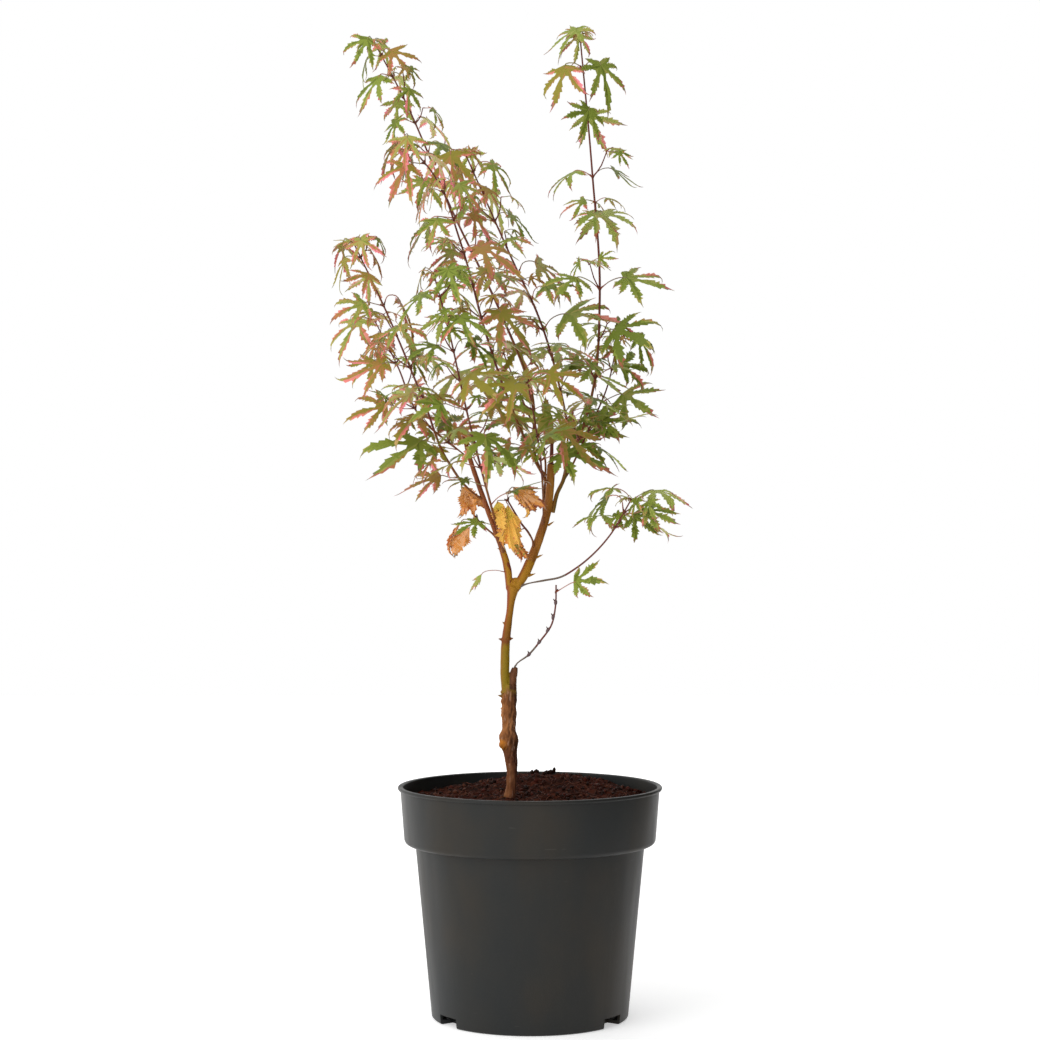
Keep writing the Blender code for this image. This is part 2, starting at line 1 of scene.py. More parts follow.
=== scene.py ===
"""A young Japanese maple in a round nursery pot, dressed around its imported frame.

Metres, +Z up, and the front of the plant faces -Y. Routes and sizes are written
in millimetres and turned into metres with MM. The limbs and shoots repeat the
routes of the frame's solids, and each shoot's leaves grow by the same rule with
the same draws, so every leaf lies where its solid is.
"""

import math
import random

import bmesh
import bpy
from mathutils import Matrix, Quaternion, Vector, noise
from mathutils.bvhtree import BVHTree


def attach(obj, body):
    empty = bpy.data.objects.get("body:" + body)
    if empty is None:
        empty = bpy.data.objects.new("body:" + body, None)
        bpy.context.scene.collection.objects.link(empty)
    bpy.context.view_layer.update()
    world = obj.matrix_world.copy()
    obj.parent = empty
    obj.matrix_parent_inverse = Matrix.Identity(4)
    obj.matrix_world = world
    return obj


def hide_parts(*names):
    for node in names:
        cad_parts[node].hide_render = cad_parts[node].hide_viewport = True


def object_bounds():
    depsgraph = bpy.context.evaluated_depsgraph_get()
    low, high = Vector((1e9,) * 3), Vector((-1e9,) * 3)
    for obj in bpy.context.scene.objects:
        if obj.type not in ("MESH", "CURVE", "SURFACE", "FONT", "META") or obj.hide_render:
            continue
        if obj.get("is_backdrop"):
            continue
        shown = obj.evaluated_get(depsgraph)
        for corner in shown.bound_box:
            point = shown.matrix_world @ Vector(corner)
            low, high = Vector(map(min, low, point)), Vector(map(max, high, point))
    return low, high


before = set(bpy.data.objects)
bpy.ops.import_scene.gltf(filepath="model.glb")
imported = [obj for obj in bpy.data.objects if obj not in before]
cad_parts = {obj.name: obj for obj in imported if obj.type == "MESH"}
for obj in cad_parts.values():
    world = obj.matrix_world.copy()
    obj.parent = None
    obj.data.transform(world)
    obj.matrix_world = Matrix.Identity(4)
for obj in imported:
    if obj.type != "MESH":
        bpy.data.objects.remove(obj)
cad_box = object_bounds()

MM = 0.001
GAP = 0.3 * MM
UP = Vector((0, 0, 1))

# Angles in degrees above which an edge looks sharp.
POT_CREASE = 40
LEAF_CREASE = 50
STEM_CREASE = 60
SOIL_CREASE = 80
BARK_CREASE = 180

# Camera at the photograph's viewing angle, for a square picture.
CAMERA_PLACE = (-7.2 * MM, -1.663, 0.356)
CAMERA_LENS = 80
CAMERA_SENSOR = 36
SURROUND_LIGHT = 1.0
KEY_PLACE = (-1.5, -1.5, 1.6)
KEY_SIZE = 1.3
KEY_POWER = 14
KEY_AIM = Vector((0, 0, 0.35))
FLOOR_REACH = 3
FLOOR_DROP = 0.2 * MM
FLOOR_GREY = 0.9
FLOOR_GLOW = 0.45

# Dark cards to the right of the plant, out of the camera's sight, that keep light
# off that side as in the photograph: place, width and height, and turn in degrees.
CARDS = (((0.7, -0.3, 0.6), (1.8, 1.3), -85), ((1.08, 0.95, 0.7), (0.9, 1.3), -50))
CARD_GREY = 0.01

# Pot: a plain round container with a deep collar under its rolled rim.
POT_SEGMENTS = 192
POT_HEIGHT = 165 * MM
RIM_RADIUS = 95 * MM
RIM_BAND = 2.6 * MM
RIM_ROUND = 1.2 * MM
COLLAR_TOP_RADIUS = 93.1 * MM
COLLAR_LOW_RADIUS = 90.4 * MM
COLLAR_BOTTOM = 124 * MM
COLLAR_ROUND = 3.5 * MM
BODY_RADIUS = 82.4 * MM
FOOT_RADIUS = 70.7 * MM
FOOT_ROUND = 1.5 * MM
WALL = 1.8 * MM
FLOOR = 2.5 * MM
SLOT_ANGLE = 55
SLOT_WIDTH = 20 * MM
SLOT_DEPTH = 11 * MM
SLOT_HEIGHT = 7.2 * MM
ARC_STEPS = 5

# The pot's plastic. A pattern of noise is a scale, a detail and a stretch, and a bump is
# a pattern, a strength and a depth. A layer of colour is a pattern, the noise at which
# it starts and is full, how strong it then is as a grey from 0 to 255, and its colour.
POT_SHINE = 0.22
POT_CLOUDS = (22, 3, (1, 1, 0.5))
POT_STREAKS = (60, 5, (1, 1, 0.12))
POT_ROUGHNESS = (0.3, 0.7, 0.36, 0.5)
POT_COLOURS = ((0.35, (31, 33, 33)), (0.5, (35, 35, 33)), (0.66, (42, 38, 32)))
POT_BUMP = ((900, 3), 0.25, 0.2 * MM)
POT_LAYERS = (
    (POT_STREAKS, 0.3, 0.7, 60, (47, 46, 42)),
    (POT_BUMP[0], 0.6, 0.76, 80, (70, 68, 62)),
    ((240, 2, (0.25, 0.25, 2.2)), 0.74, 0.78, 110, (82, 80, 75)),
)

# Soil: the top follows the solid's level and mound, with finer lumps.
SOIL_LEVEL = 154.5 * MM
SOIL_FOOT_INSET = 15 * MM
SOIL_FOOT_RISE = 11 * MM
SOIL_SEGMENTS = 240
SOIL_RINGS = 80
SOIL_ROUGHNESS = 0.95
SOIL_PATCHES = (90, 6)
SOIL_COLOURS = ((0.32, (30, 14, 9)), (0.5, (50, 23, 15)), (0.68, (72, 34, 22)))
SOIL_BUMP = ((700, 5), 0.8, 0.8 * MM)
SOIL_LAYERS = ((SOIL_BUMP[0], 0.6, 0.72, 150, (92, 58, 42)),)
MOUND_PLACE = Vector((12, 56)) * MM
MOUND_HEIGHT = 11 * MM
MOUND_SPREAD = 38 * MM
LUMPS = ((12 * MM, 2.0 * MM), (5.5 * MM, 1.6 * MM), (2.2 * MM, 0.7 * MM))
CRUMBS = 2000
CRUMB_SIZES = (0.5 * MM, 2.1 * MM)
CRUMB_POWER = 2.5
CRUMB_SQUEEZE = (0.6, 1.25)
CRUMB_LIFT = (-0.2, 0.5)
CRUMB_CLEAR = 1.3
DENT_DEPTH = 0.5
DENT_SCALE = 1.3
DENT_SHIFT = (0, 50)
CRUMB_SHADES = ("peat_dark", "peat_dark", "peat", "peat", "peat_red", "peat_pale")
CLODS = (
    (2, 79, 165.5, 2.6), (5, 78, 166.5, 2.0), (16, 76, 166.5, 3.2), (18.5, 75, 167.5, 2.2),
    (13, 77, 165.5, 2.6), (21, 74, 165, 2.4), (-3, -6, 156, 2.6), (5, -10, 156, 2.8),
)
FIBRES = 420
FIBRE_CLEAR = 12 * MM
FIBRE_POINTS = 4
FIBRE_STEPS = 6
FIBRE_STEP = 2.5
FIBRE_TURN = 0.5
FIBRE_LIFT = (0.2, 1.4)
FIBRE_RADIUS = (0.12, 0.3)
FIBRE_SIDES = 4
FIBRE_SHADES = ("peat_pale", "fibre", "peat_red")
SOIL_SEED = 5

# Trunk: a stout rootstock cut off above the graft, and the slim scion beside it.
# Each point is across, back, up and the radius there. The trunk's skin runs on a
# little way up both leaders.
CROTCH_STEPS = 4
TRUNK_SIDES = 24
STOCK_STEPS = 22
STUB_STEPS = 4
SCION_STEPS = 12
STOCK = (
    (-14.2, -6, 157, 4.6), (-13.9, -6, 160, 4.2), (-13.5, -6, 183, 4.2), (-14.4, -5.6, 191, 5.4),
    (-15.4, -5.4, 198.5, 6.9), (-15.2, -5, 206, 5.0), (-15, -4.5, 212, 5.2), (-15.2, -4, 219, 5.4),
    (-14.8, -4, 229, 5.2), (-14, -4, 238, 4.2),
)
STUB = ((-13.4, -4, 233, 3.0), (-12.2, -4, 243, 2.7), (-11, -4, 250, 2.1))
SCION = (
    (-16, -4, 229, 3.3), (-18, -4, 241, 3.1), (-18, -3.4, 252, 3.3), (-17.4, -3, 269, 3.1),
    (-16, -2.6, 280, 2.9), (-14.7, -2.2, 289, 2.5), (-13.5, -2, 299, 3.1), (-12.2, -2, 308, 4.6),
)
# Lumps that stand out of the rootstock: across, back, up and radius.
KNOBS = (
    (-18.9, -8.4, 195.5, 3.5), (-12.2, -6.4, 200, 3.6), (-16.2, -7.4, 200.5, 4.6),
    (-14.4, -1.8, 197, 4.6), (-18.6, -4.8, 216, 2.2), (-18.4, -5.6, 226, 2.6),
    (-12.4, -5.6, 221, 2.4), (-13.4, -1.6, 212, 3.0),
)
BULGE = KNOBS[0]
# Thorns and buds on trunk and leaders: across, back, up, the way they point in
# degrees round from the right towards the top, radius and length.
THORNS = (
    (-20.0, -5, 229.4, 160, 1.1, 3.4), (-20.4, -5, 220.8, 165, 0.7, 2.4),
    (-20.4, -3.6, 270.2, 165, 0.9, 2.6), (-14.2, -3.4, 270.6, 15, 0.9, 2.4),
    (-18.4, -3.2, 281.6, 140, 0.7, 2.2), (0.2, 0, 316.2, 20, 0.8, 4.6),
    (5.6, 2, 329.4, 25, 0.8, 4.4), (14.2, 6, 352.8, 35, 0.7, 5.0),
    (-21.4, -4.4, 335, 160, 0.6, 3.0),
)
# Wood that fills the fork between the leaders: across, back, up and radius.
CROTCH = ((-11.2, -2, 309.6, 3.4), (-10.6, -2, 312.4, 2.4), (-13, -2, 307, 4.2))
NODE_RINGS = ((-17.2, -3, 270.4, 3.35), (-18.0, -4, 232.4, 3.5))
SKIN_SWELL = 1.04
SKIN_SUNK = 2
# Profiles of a thorn, of a ring and of a swelling: places along it and its girth there.
THORN_PROFILE = ((-0.3, 1.3), (0, 1.2), (0.5, 0.8), (1, 0.25))
THORN_FORWARD = 0.2
THORN_SIDES = 8
RING_PROFILE = ((-1.2, 0.8), (-0.5, 1), (0.5, 1), (1.2, 0.8))
SPINDLE_PROFILE = ((0, 0.5), (0.25, 0.9), (0.5, 1.0), (0.75, 0.8), (1, 0.4))

# Bark: where the rootstock's old bark ends, and how far bark stands out, as the size,
# the rise and the stretch along the trunk of each layer of noise.
BARK_VOXEL = 0.45 * MM
GRAFT_HEIGHT = 231 * MM
GRAFT_FADE = 9 * MM
STUB_EDGE = -14.6 * MM
STUB_TOP = 256 * MM
OLD_RELIEF = ((6, 0.55, 1), (1.7, 0.5, 0.35), (0.9, 0.22, 1))
YOUNG_RELIEF = ((5, 0.12, 1),)
LIMB_RELIEF = ((4, 0.16, 1),)
BARK_SHINE = 0.15
BARK_ROUGHNESS = (0.8, 0.5)
TRUNK_PATCHES = (160, 4, (1, 1, 0.5))
TRUNK_BUMP = ((520, 4, (1, 1, 0.25)), 0.35, 0.3 * MM)
TRUNK_LAYERS = ((TRUNK_BUMP[0], 0.58, 0.68, 180, (190, 150, 126)),)
# Painted light and shade on the old bark: a lit copy for faces that look left and a shaded copy for
# faces that look right.
SUNNY_BARK = ((0.3, (104, 62, 34)), (0.5, (140, 88, 48)), (0.7, (176, 122, 76)))
SHADY_BARK = ((0.3, (60, 34, 20)), (0.5, (84, 50, 30)), (0.7, (112, 70, 44)))
FOOT_BARK = (88, 46, 32)
FOOT_SPAN = (196 * MM, 186 * MM)
BULGE_BARK = (176, 108, 34)
# How far the colour of a lump, or the painted shade on the stub, reaches, in millimetres.
BULGE_REACH = (3.2, 4.8)
STUB_REACH = (9, 10.5)
# Where old bark gives way to young, and by how much noise moves that edge up or down.
GRAFT_SPAN = (227 * MM, 233 * MM)
WANDER = (0.3, 0.7, -4 * MM, 4 * MM)
# Across the trunk, where the painted shade on the stub starts and where it is full.
STUB_SPAN = (-15.2 * MM, -14.4 * MM)
# Young bark, from the graft to the fork: a green strip that faces right, and the rest.
YOUNG_SPAN = (229 * MM, 312 * MM)
STRIP_SPAN = (-0.75, -0.2)
GREEN_BARK = (
    (0.0, (118, 84, 34)), (0.08, (132, 110, 20)), (0.44, (134, 106, 22)), (0.5, (116, 64, 26)),
    (0.56, (128, 84, 24)), (0.8, (148, 100, 26)), (1.0, (164, 116, 30)),
)
ORANGE_BARK = (
    (0.0, (134, 86, 46)), (0.1, (134, 100, 24)), (0.42, (136, 96, 28)), (0.5, (118, 60, 28)),
    (0.7, (144, 76, 30)), (0.88, (136, 62, 34)), (1.0, (140, 74, 34)),
)

# Limbs that grow from the trunk, drawn the same way.
LIMB_SIDES = 8
FINE_STEPS = 4
LEFT_STEPS = 12
RIGHT_STEPS = 16
LEFT_LEADER = (
    (-15.1, -2, 308.3, 2.3), (-15.8, -3, 319, 2.7), (-18.6, -4.2, 331, 2.3), (-23.6, -6, 345, 2.1),
    (-30.6, -9, 364, 1.9), (-37, -12, 382, 1.8), (-42.6, -15, 399, 1.7), (-47.4, -18, 417, 1.5),
)
RIGHT_LEADER = (
    (-9.4, -2, 308.3, 3.0), (-4, -0.6, 317, 3.4), (1, 2, 328, 3.4), (6.4, 5, 342, 3.2),
    (12, 8, 360, 3.0), (14.4, 11, 378, 3.0), (15.4, 14, 396, 2.9), (15.6, 14.6, 398, 1.5),
    (16, 16, 413, 1.3),
)
LEADER_CUT = 7
OUTER_SHOOT = ((19.4, 12, 374), (23.6, 14, 383), (26.6, 17, 396), (27.4, 20, 411))
OUTER_RADII = (1.6, 1.3)
OUTER_AT = 0.55
LEADER_TIP_RADII = (1.7 * MM, 1.6 * MM, 1.2 * MM)
LEADER_TIP_SIDES = 12
LEADER_SWELLING = (2.75 * MM, 3.4 * MM, 16)
LIMB_PATCHES = (150, 4, (1, 1, 0.3))
LIMB_BUMP = ((900, 3), 0.2, 0.15 * MM)
LIMB_STOPS = (0.3, 0.5, 0.7)
LIMB_BARK = dict(
    left_leader=((98, 46, 26), (124, 62, 34), (150, 86, 50)),
    right_leader=((120, 74, 24), (150, 98, 34), (172, 118, 50)),
    outer_shoot=((84, 66, 24), (106, 84, 30), (128, 98, 40)),
)
# Painted light: the lit colour that the faces of a limb which look left take.
SUNNY_LIMB = (150, 92, 50)

# Shoots: the limb each leaves and how far up it, the rest of its route, its
# radii, where its pairs of leaves stand in hundredths of its length, the way
# the lowest pair faces, the length of a stalk at the foot and at the tip, the
# leaf's length, how far leaves hang down at the foot and at the tip in degrees,
# the seed of its small differences, and how pink its leaves are at the foot and
# at the tip. Some shoots have more:
# - halves: the sides that leaves stand on, where a pair lacks one.
# - wide: how much wider the lobes are. bronze: the chance that a leaf is bronze.
# - bark: the shade of the foot. swellings: swollen nodes, as shares of the length.
# - autumn: the name of its leaves' withered shades.
# - hung: leaves that hang by themselves, with shades, stalk, way and length.
# - fill: leaves that fill in, with share of the shoot, turn, length, stalk and hang.
SHOOTS = (
    dict(
        name="twig_low", limb="stub", at=1.0,
        route=(
            (-6, -6, 254.5), (0, -9, 260.6), (7.1, -14, 269.5), (13.5, -19, 277.6),
            (17, -23, 288), (18.3, -29, 310),
        ),
        halves=(0,), radii=(1.0, 0.75), nodes=(93,), facing=30, stalk=(15, 13), leaf=42,
        hang=(-5, 5), seed=683, wide=1.45, tint=(0.2, 0.35), bark="stem_grey",
        swellings=(0.2, 0.37, 0.53, 0.68, 0.83),
    ),
    dict(
        name="spray_right_low", limb="right_leader", at=0.03,
        route=((20, -12, 314.5), (38, -25, 326), (55, -40, 344), (70, -55, 370)), radii=(1.0, 0.75),
        nodes=(78, 90, 100), facing=40, stalk=(20, 20), leaf=45, hang=(0, 25), seed=359, wide=1.4,
        tint=(0.1, 0.15), bark="stem_grey",
    ),
    dict(
        name="twig_yellow", limb="right_leader", at=0.3, route=((-4, -9, 350), (-16, -20, 370)),
        radii=(1.2, 0.8), nodes=(100,), facing=-10, stalk=(14, 8), leaf=33, hang=(60, 75), seed=655,
        tint=(0.3, 0.4), autumn="yellow", hung=(
            ("yellow", ((-16, -20, 370), (-17, -21, 369), (-15.7, -22, 367)), (3, -1, -33), 34),
            ("peach", ((-16, -20, 370), (-15, -21, 377), (-12.2, -22, 379.5)), (25, -2, -18), 31),
            ("brown", ((-4, -9, 350), (-9, -12, 348), (-12.9, -14, 342)), (14, -3, -16), 20),
        ),
    ),
    dict(
        name="twig_rust", limb="left_leader", at=0.34, route=((-36, 2, 354), (-49, 12, 376)),
        radii=(1.2, 0.8), nodes=(45, 100), facing=-20, stalk=(14, 10), leaf=33, hang=(45, 60),
        seed=240, tint=(0.15, 0.3), autumn="rust", hung=(
            (None, ((-17.4, -4.6, 318.6), (-26, -6, 320), (-34.6, -7, 317.4)), (-7, -1, -12), 15),
            ("rust", ((-36, 2, 354), (-41, 4, 355), (-43.4, 6, 351)), (-15, 0, -22), 27),
        ),
    ),
    dict(
        name="shoot_far_left", limb="left_leader", at=0.6,
        route=((-58, -22, 397), (-75, -38, 440), (-103, -52, 507), (-123, -60, 549)),
        radii=(1.3, 0.7), nodes=(40, 53, 65, 76, 86, 94, 100), facing=-70, stalk=(20, 12), leaf=40,
        hang=(5, 60), seed=421, tint=(0.7, 0.6), bronze=0.65,
        fill=((0.1, 175, 30, 16, 25), (0.17, 215, 26, 14, 20), (0.24, 10, 26, 12, 10)),
    ),
    dict(
        name="shoot_left_low", limb="left_leader", at=0.86,
        route=((-63, -6, 415), (-79, 9, 430), (-98, 35, 471), (-115, 50, 504)), radii=(1.2, 0.65),
        nodes=(12, 27, 42, 56, 72, 88, 100), facing=10, stalk=(22, 12), leaf=42, hang=(5, 50),
        seed=146, tint=(0.2, 0.6), bronze=0.45,
        fill=((0.06, 200, 26, 18, 30), (0.2, 20, 24, 12, 10)),
    ),
    dict(
        name="shoot_inner", limb="left_leader", at=0.24,
        route=((-29, -30, 371), (-36, -45, 398), (-46, -70, 440), (-55, -84, 482), (-66, -92, 524)),
        radii=(1.25, 0.65), nodes=(32, 43, 54, 64, 74, 83, 92, 100), facing=30, stalk=(22, 14),
        leaf=42, hang=(0, 55), seed=520, tint=(0.1, 0.25),
        fill=((0.1, 190, 24, 14, 30), (0.18, 350, 26, 16, 10), (0.25, 170, 26, 12, 20)),
    ),
    dict(
        name="shoot_tall_left", limb="right_leader", at=0.79,
        route=((2, 28, 446), (-21, 45, 508), (-57, 62, 585), (-95, 75, 674), (-118, 80, 718)),
        radii=(1.5, 0.7), nodes=(42, 50, 58, 66, 73, 80, 86, 91, 96, 100), facing=-50,
        stalk=(26, 12), leaf=40, hang=(10, 65), seed=90, tint=(0.75, 0.36),
    ),
    dict(
        name="shoot_mid_left", limb="right_leader", at=0.74,
        route=((-17, -8, 446), (-31, -22, 487), (-49, -42, 551), (-65, -52, 593), (-87, -58, 620)),
        radii=(1.4, 0.7), nodes=(27, 38, 48, 57, 66, 75, 83, 92, 100), facing=-50, stalk=(26, 13),
        leaf=42, hang=(5, 65), seed=135, tint=(0.5, 0.8), bronze=0.4,
        fill=((0.1, 185, 26, 16, 10), (0.16, 250, 24, 12, 0)),
    ),
    dict(
        name="shoot_middle", limb="outer_shoot", at=1.0,
        route=((20, 15, 459), (7, 8, 501), (-13, 2, 544), (-47, -5, 620)), radii=(1.25, 0.7),
        nodes=(18, 28, 38, 48, 58, 67, 76, 85, 93, 100), facing=0, stalk=(28, 12), leaf=43,
        hang=(0, 60), seed=191, tint=(0.12, 0.6),
        fill=((0.08, 10, 30, 18, 10), (0.05, 300, 26, 14, 5)),
    ),
    dict(
        name="shoot_tall_right", limb="outer_shoot", at=0.8,
        route=((44, 10, 443), (50, -5, 516), (44, -20, 605), (35, -30, 700)), radii=(1.4, 0.7),
        nodes=(5, 12, 20, 29, 41, 57, 67, 81, 92, 100), facing=0, stalk=(26, 11), leaf=42,
        hang=(0, 65), seed=399, tint=(0.15, 0.36), bronze=0.1,
        fill=((0.02, 0, 30, 20, 15), (0.08, 330, 28, 14, 5)),
    ),
    dict(
        name="shoot_right_back", limb="outer_shoot", at=0.45,
        route=((44, 38, 424), (58, 56, 456), (66, 66, 492)), radii=(1.1, 0.65),
        nodes=(38, 58, 80, 100), facing=70, stalk=(22, 14), leaf=41, hang=(0, 45), seed=446,
        tint=(0.1, 0.25),
    ),
    dict(
        name="shoot_front", limb="right_leader", at=0.46,
        route=((8, -26, 392), (3, -62, 425), (-2, -88, 450)), radii=(1.1, 0.65),
        nodes=(42, 60, 80, 100), facing=-30, stalk=(22, 14), leaf=41, hang=(0, 40), seed=42,
        tint=(0.1, 0.2),
    ),
    dict(
        name="shoot_back", limb="right_leader", at=0.54,
        route=((11, 42, 404), (-4, 82, 443), (-20, 104, 484)), radii=(1.2, 0.65),
        nodes=(35, 50, 66, 83, 100), facing=-60, stalk=(22, 14), leaf=42, hang=(0, 45), seed=189,
        tint=(0.1, 0.3),
    ),
)

# The rule that every shoot follows, as the frame's solids grew.
SHOOT_SIDES = 5
STEM_SHARE = 0.74
STEM_STEP = 15 * MM
PAIR_TURN = 90
LAST_SHARE = 0.995
TRIES = (0, 24, -24, 48, -48)
FORK_TILT = math.radians(50)
BOTH_SIDES = (0, 180)
FACE_FRONT = Vector((0, -0.6, 0))
LEAF_SHRINK = 0.3
LEAST_BEND = 0.4
HANG_RISE = 1.5
STALK_OUT = 0.8
STALK_UP = 0.6
STALK_LIFT = 0.35
STALK_SUNK = 0.15 * MM
STALK_DROP = 0.5
STALK_RADII = (0.7 * MM, 0.55 * MM, 0.6 * MM)
CLEARANCE = 0.5 * MM
HUNG_FACE = Vector((0, -1, 0.4))
HUNG_BEND = 0.4
HUNG_CURL = 0.6
DRAWS = dict(
    turn=(-20, 20), stalk=(0.8, 1.2), hang=(-22, 18), swing=(-24, 24), roll=(-34, 34),
    size=(0.66, 1.14), bend=(0.1, 0.34), curl=(0.0, 0.3),
)

# Leaf: five pointed lobes that spread from the end of the stalk, as shares of
# the middle lobe's length. Some fine leaves have a small sixth and seventh lobe.
LOBE_ANGLES = (-84, -42, 0, 42, 84)
LOBE_LENGTHS = (0.54, 0.85, 1.0, 0.85, 0.54)
LOBE_WIDE_AT = 0.47
LOBE_HALF_WIDTH = 0.1
LEAST_WIDTH = 0.6
NOTCH_DEPTH = 0.18
NOTCH_MARGIN = 0.02
FOOT_NOTCH = 0.08
LEAF_THICKNESS = 1.1 * MM
FOOT_LOBE_ANGLE = 122
FOOT_LOBE_LENGTH = 0.34
FOOT_LOBE_CHANCE = 0.4

# Fine leaf: its thickness, its teeth, and the shape of a lobe's edge, which
# widens slowly, falls to a long thin tail and has coarse uneven teeth.
FINE_THICKNESS = 0.35 * MM
LAYERS = (1, -1)
FINE_HALF_WIDTH = 0.1
WIDTH_LOSS = 0.26
AUTUMN_WIDTH = 1.3
AUTUMN_SQUEEZE = 0.3
HUNG_SQUEEZE = 0.25
TEETH = 5
TOOTH_END = 0.82
TOOTH_SHIFT = 0.42
TOOTH_VALLEY = (0.6, 0.92)
TOOTH_POINT = (0.95, 1.45)
TOOTH_LEAN = 0.8
TAIL_SHARES = (0.86, 0.93)
TAIL_WIDTH = 0.28 * MM
LOBE_RISE = 2.4
LOBE_FALL = 2.3
INNER_BAND = 0.55
MARGIN_DROP = 0.6
LOBE_STRETCH = (0.86, 1.12)
LOBE_SWING = 0.1

# Twigs: how a stem starts in its limb and where its bark darkens, and the radius,
# length and sides of swellings, of their spurs and of buds, and how far those stand out.
TWIG_SIDES = 8
STEM_SUNK = 2.5
STEM_FLARE = 1.1
DARK_FROM = 0.3
SWELLING = (1.25 * MM, 4.4 * MM)
SPUR = (0.5 * MM, 3 * MM, 6)
SPUR_WAY = Vector((-1, -0.3, 0.4))
SPUR_OUT = 1.6
BUD = (0.6 * MM, 2.6 * MM, 6)
BUD_OUT = 1.2
NODE_GIRTH = 1.4
NODE_LENGTH = 3 * MM

# Stalks: steps and sides, the girth of the foot, what it loses and what the end gains.
STALK_STEPS = 8
STALK_SIDES = 6
STALK_GIRTH = (0.62, 0.26, 0.06)
STALK_SHADES = ("stalk_pink", "stalk_grey", "stalk_green")

# Side twigs at the nodes and a tuft at each tip: how many there are, how long a
# side twig is, and the leaves that each bears.
SIDE_CHANCE = 0.4
SIDE_LENGTH = (7, 20)
SIDE_RADII = (0.55 * MM, 0.4 * MM)
SIDE_RISE = 0.9
SIDE_TURN = 55
SIDE_BEND = 0.3
SIDE_STEPS = 4
SIDE_SPREAD = (90, -90, 0)
SIDE_LEAF = dict(leaf=(15, 25), stalk=(9, 6), hang=(5, 60))
TUFT_LEAVES = 5
TUFT_LEAF = dict(leaf=(9, 17), stalk=(4, 3), hang=(-55, 5))
TUFT_TURN = 45
TUFT_TINT = 0.25

# How lobes hang: turns in radians at a lobe's tip, and folds as slopes.
LOBE_HABIT = dict(
    droop=(-0.35, 0.6), sweep=(-0.35, 0.35), twist=(-0.9, 0.9), fold=(0.0, 0.5), sag=(0.05, 0.55),
    tail_drop=(-1.0, 1.6), tail_sweep=(-1.1, 1.1),
)
WITHERED_HABIT = dict(
    droop=(0.0, 1.3), sweep=(-0.5, 0.5), twist=(-1.2, 1.2), fold=(0.3, 1.3), sag=(0.2, 0.9),
    tail_drop=(-1.5, 2.2), tail_sweep=(-1.4, 1.4),
)
TAIL_FROM = 0.6
LEAST_SAG = 0.3
UPRIGHT_GIVE = 0.35

# Shades, as the colours that a screen shows.
SHADES = dict(
    deep_green=(102, 115, 35), green=(127, 141, 52), leaf_green=(147, 152, 71),
    olive=(164, 154, 78), khaki=(182, 152, 90), rose=(216, 136, 120),
    salmon=(228, 130, 122), pink=(234, 132, 142), moss=(140, 130, 44), bronze=(162, 126, 62),
    copper=(180, 116, 74), clay=(200, 118, 96), pale_green=(158, 168, 80),
    pale_olive=(178, 170, 98), pale_tan=(196, 164, 126), russet=(158, 92, 66),
    tip_rose=(182, 98, 92), tip_grey=(130, 116, 102), straw=(196, 178, 80), yellow=(222, 190, 76),
    gold=(230, 176, 80), orange=(220, 148, 76), peach=(232, 172, 120), rust=(174, 98, 50),
    brown=(122, 80, 44), stalk_pink=(170, 112, 96), stalk_grey=(136, 116, 98),
    stalk_green=(140, 132, 84), stalk_foot=(140, 70, 48),
    stem_brown=(122, 72, 36), stem_maroon=(106, 52, 40), stem_grey=(104, 88, 74),
    bud_grey=(98, 76, 76), bud=(96, 50, 34), bud_tip=(74, 48, 32),
    peat_dark=(32, 16, 11), peat=(48, 22, 15), peat_red=(68, 28, 20), peat_pale=(78, 44, 31),
    fibre=(88, 50, 36),
)
GREEN_RAMP = (
    "deep_green", "green", "green", "leaf_green", "olive", "bronze", "copper", "clay", "rose",
    "salmon", "pink",
)
BRONZE_RAMP = ("moss", "moss", "bronze", "bronze", "copper", "clay", "rose", "salmon", "pink")
BRONZE_CHANCE = 0.3
UNDER_RAMP = ("pale_green", "pale_green", "pale_olive", "pale_tan", "rose", "salmon", "pink")
AUTUMN_RAMPS = dict(
    yellow=("olive", "straw", "yellow", "yellow", "gold", "gold", "orange", "rust"),
    rust=("straw", "peach", "peach", "orange", "peach", "orange", "rust", "rust", "brown"),
    peach=("straw", "peach", "gold", "peach", "orange", "peach", "orange", "russet"),
    brown=("olive", "straw", "olive", "orange", "rust", "russet", "brown"),
)
# How shades are dealt out: beyond a share of a lobe the tip has its own, and the rest
# lie on a ramp by the leaf's tint, the lobe's blush and its margin, with some spread.
# A shoot's seed times LOOKS_SEED starts the draws of its looks.
LOOKS_SEED = 7
TIP_SHADES = ("russet", "tip_rose", "olive", "khaki")
TIP_FROM = 0.86
GREY_FROM = 0.98
AUTUMN_RISE = (0.35, 0.14)
TINT_SHARE = 0.4
GREEN_BELOW = 0.35
TINT_SPREAD = 0.1
GREEN_SPREAD = 0.09
FACE_SPREAD = 0.08
LOBE_SPREAD = 0.07
BLUSH_CHANCE = 0.75
BLUSH_START = (0.1, 0.65)
BLUSH_RISE = (0.2, 0.65)
BLUSH_SPEED = 2.6
MARGIN_BLUSH = 0.38
LEAST_MARGIN = 0.4
TIP_MARGIN = 0.1
LEAF_ROUGHNESS = 0.5
LEAF_SHINE = 0.2
PEAT_SHINE = 0.05
STEM_ROUGHNESS = 0.45
STALK_SHARE = 0.5
FULL_LEAF = 40 * MM


def metres(point):
    return Vector(point[:3]) * MM


def linear(colour):
    """A colour that a screen shows, from 0 to 255, as a shader takes it."""
    shares = [value / 255 for value in colour]
    return (*[s / 12.92 if s < 0.04045 else ((s + 0.055) / 1.055) ** 2.4 for s in shares], 1)


def compass(turn):
    """The level direction at an angle round from the right, in radians."""
    return Vector((math.cos(turn), math.sin(turn), 0))


def squared(way, heading):
    """A direction, turned square to a heading."""
    return (way - heading * way.dot(heading)).normalized()


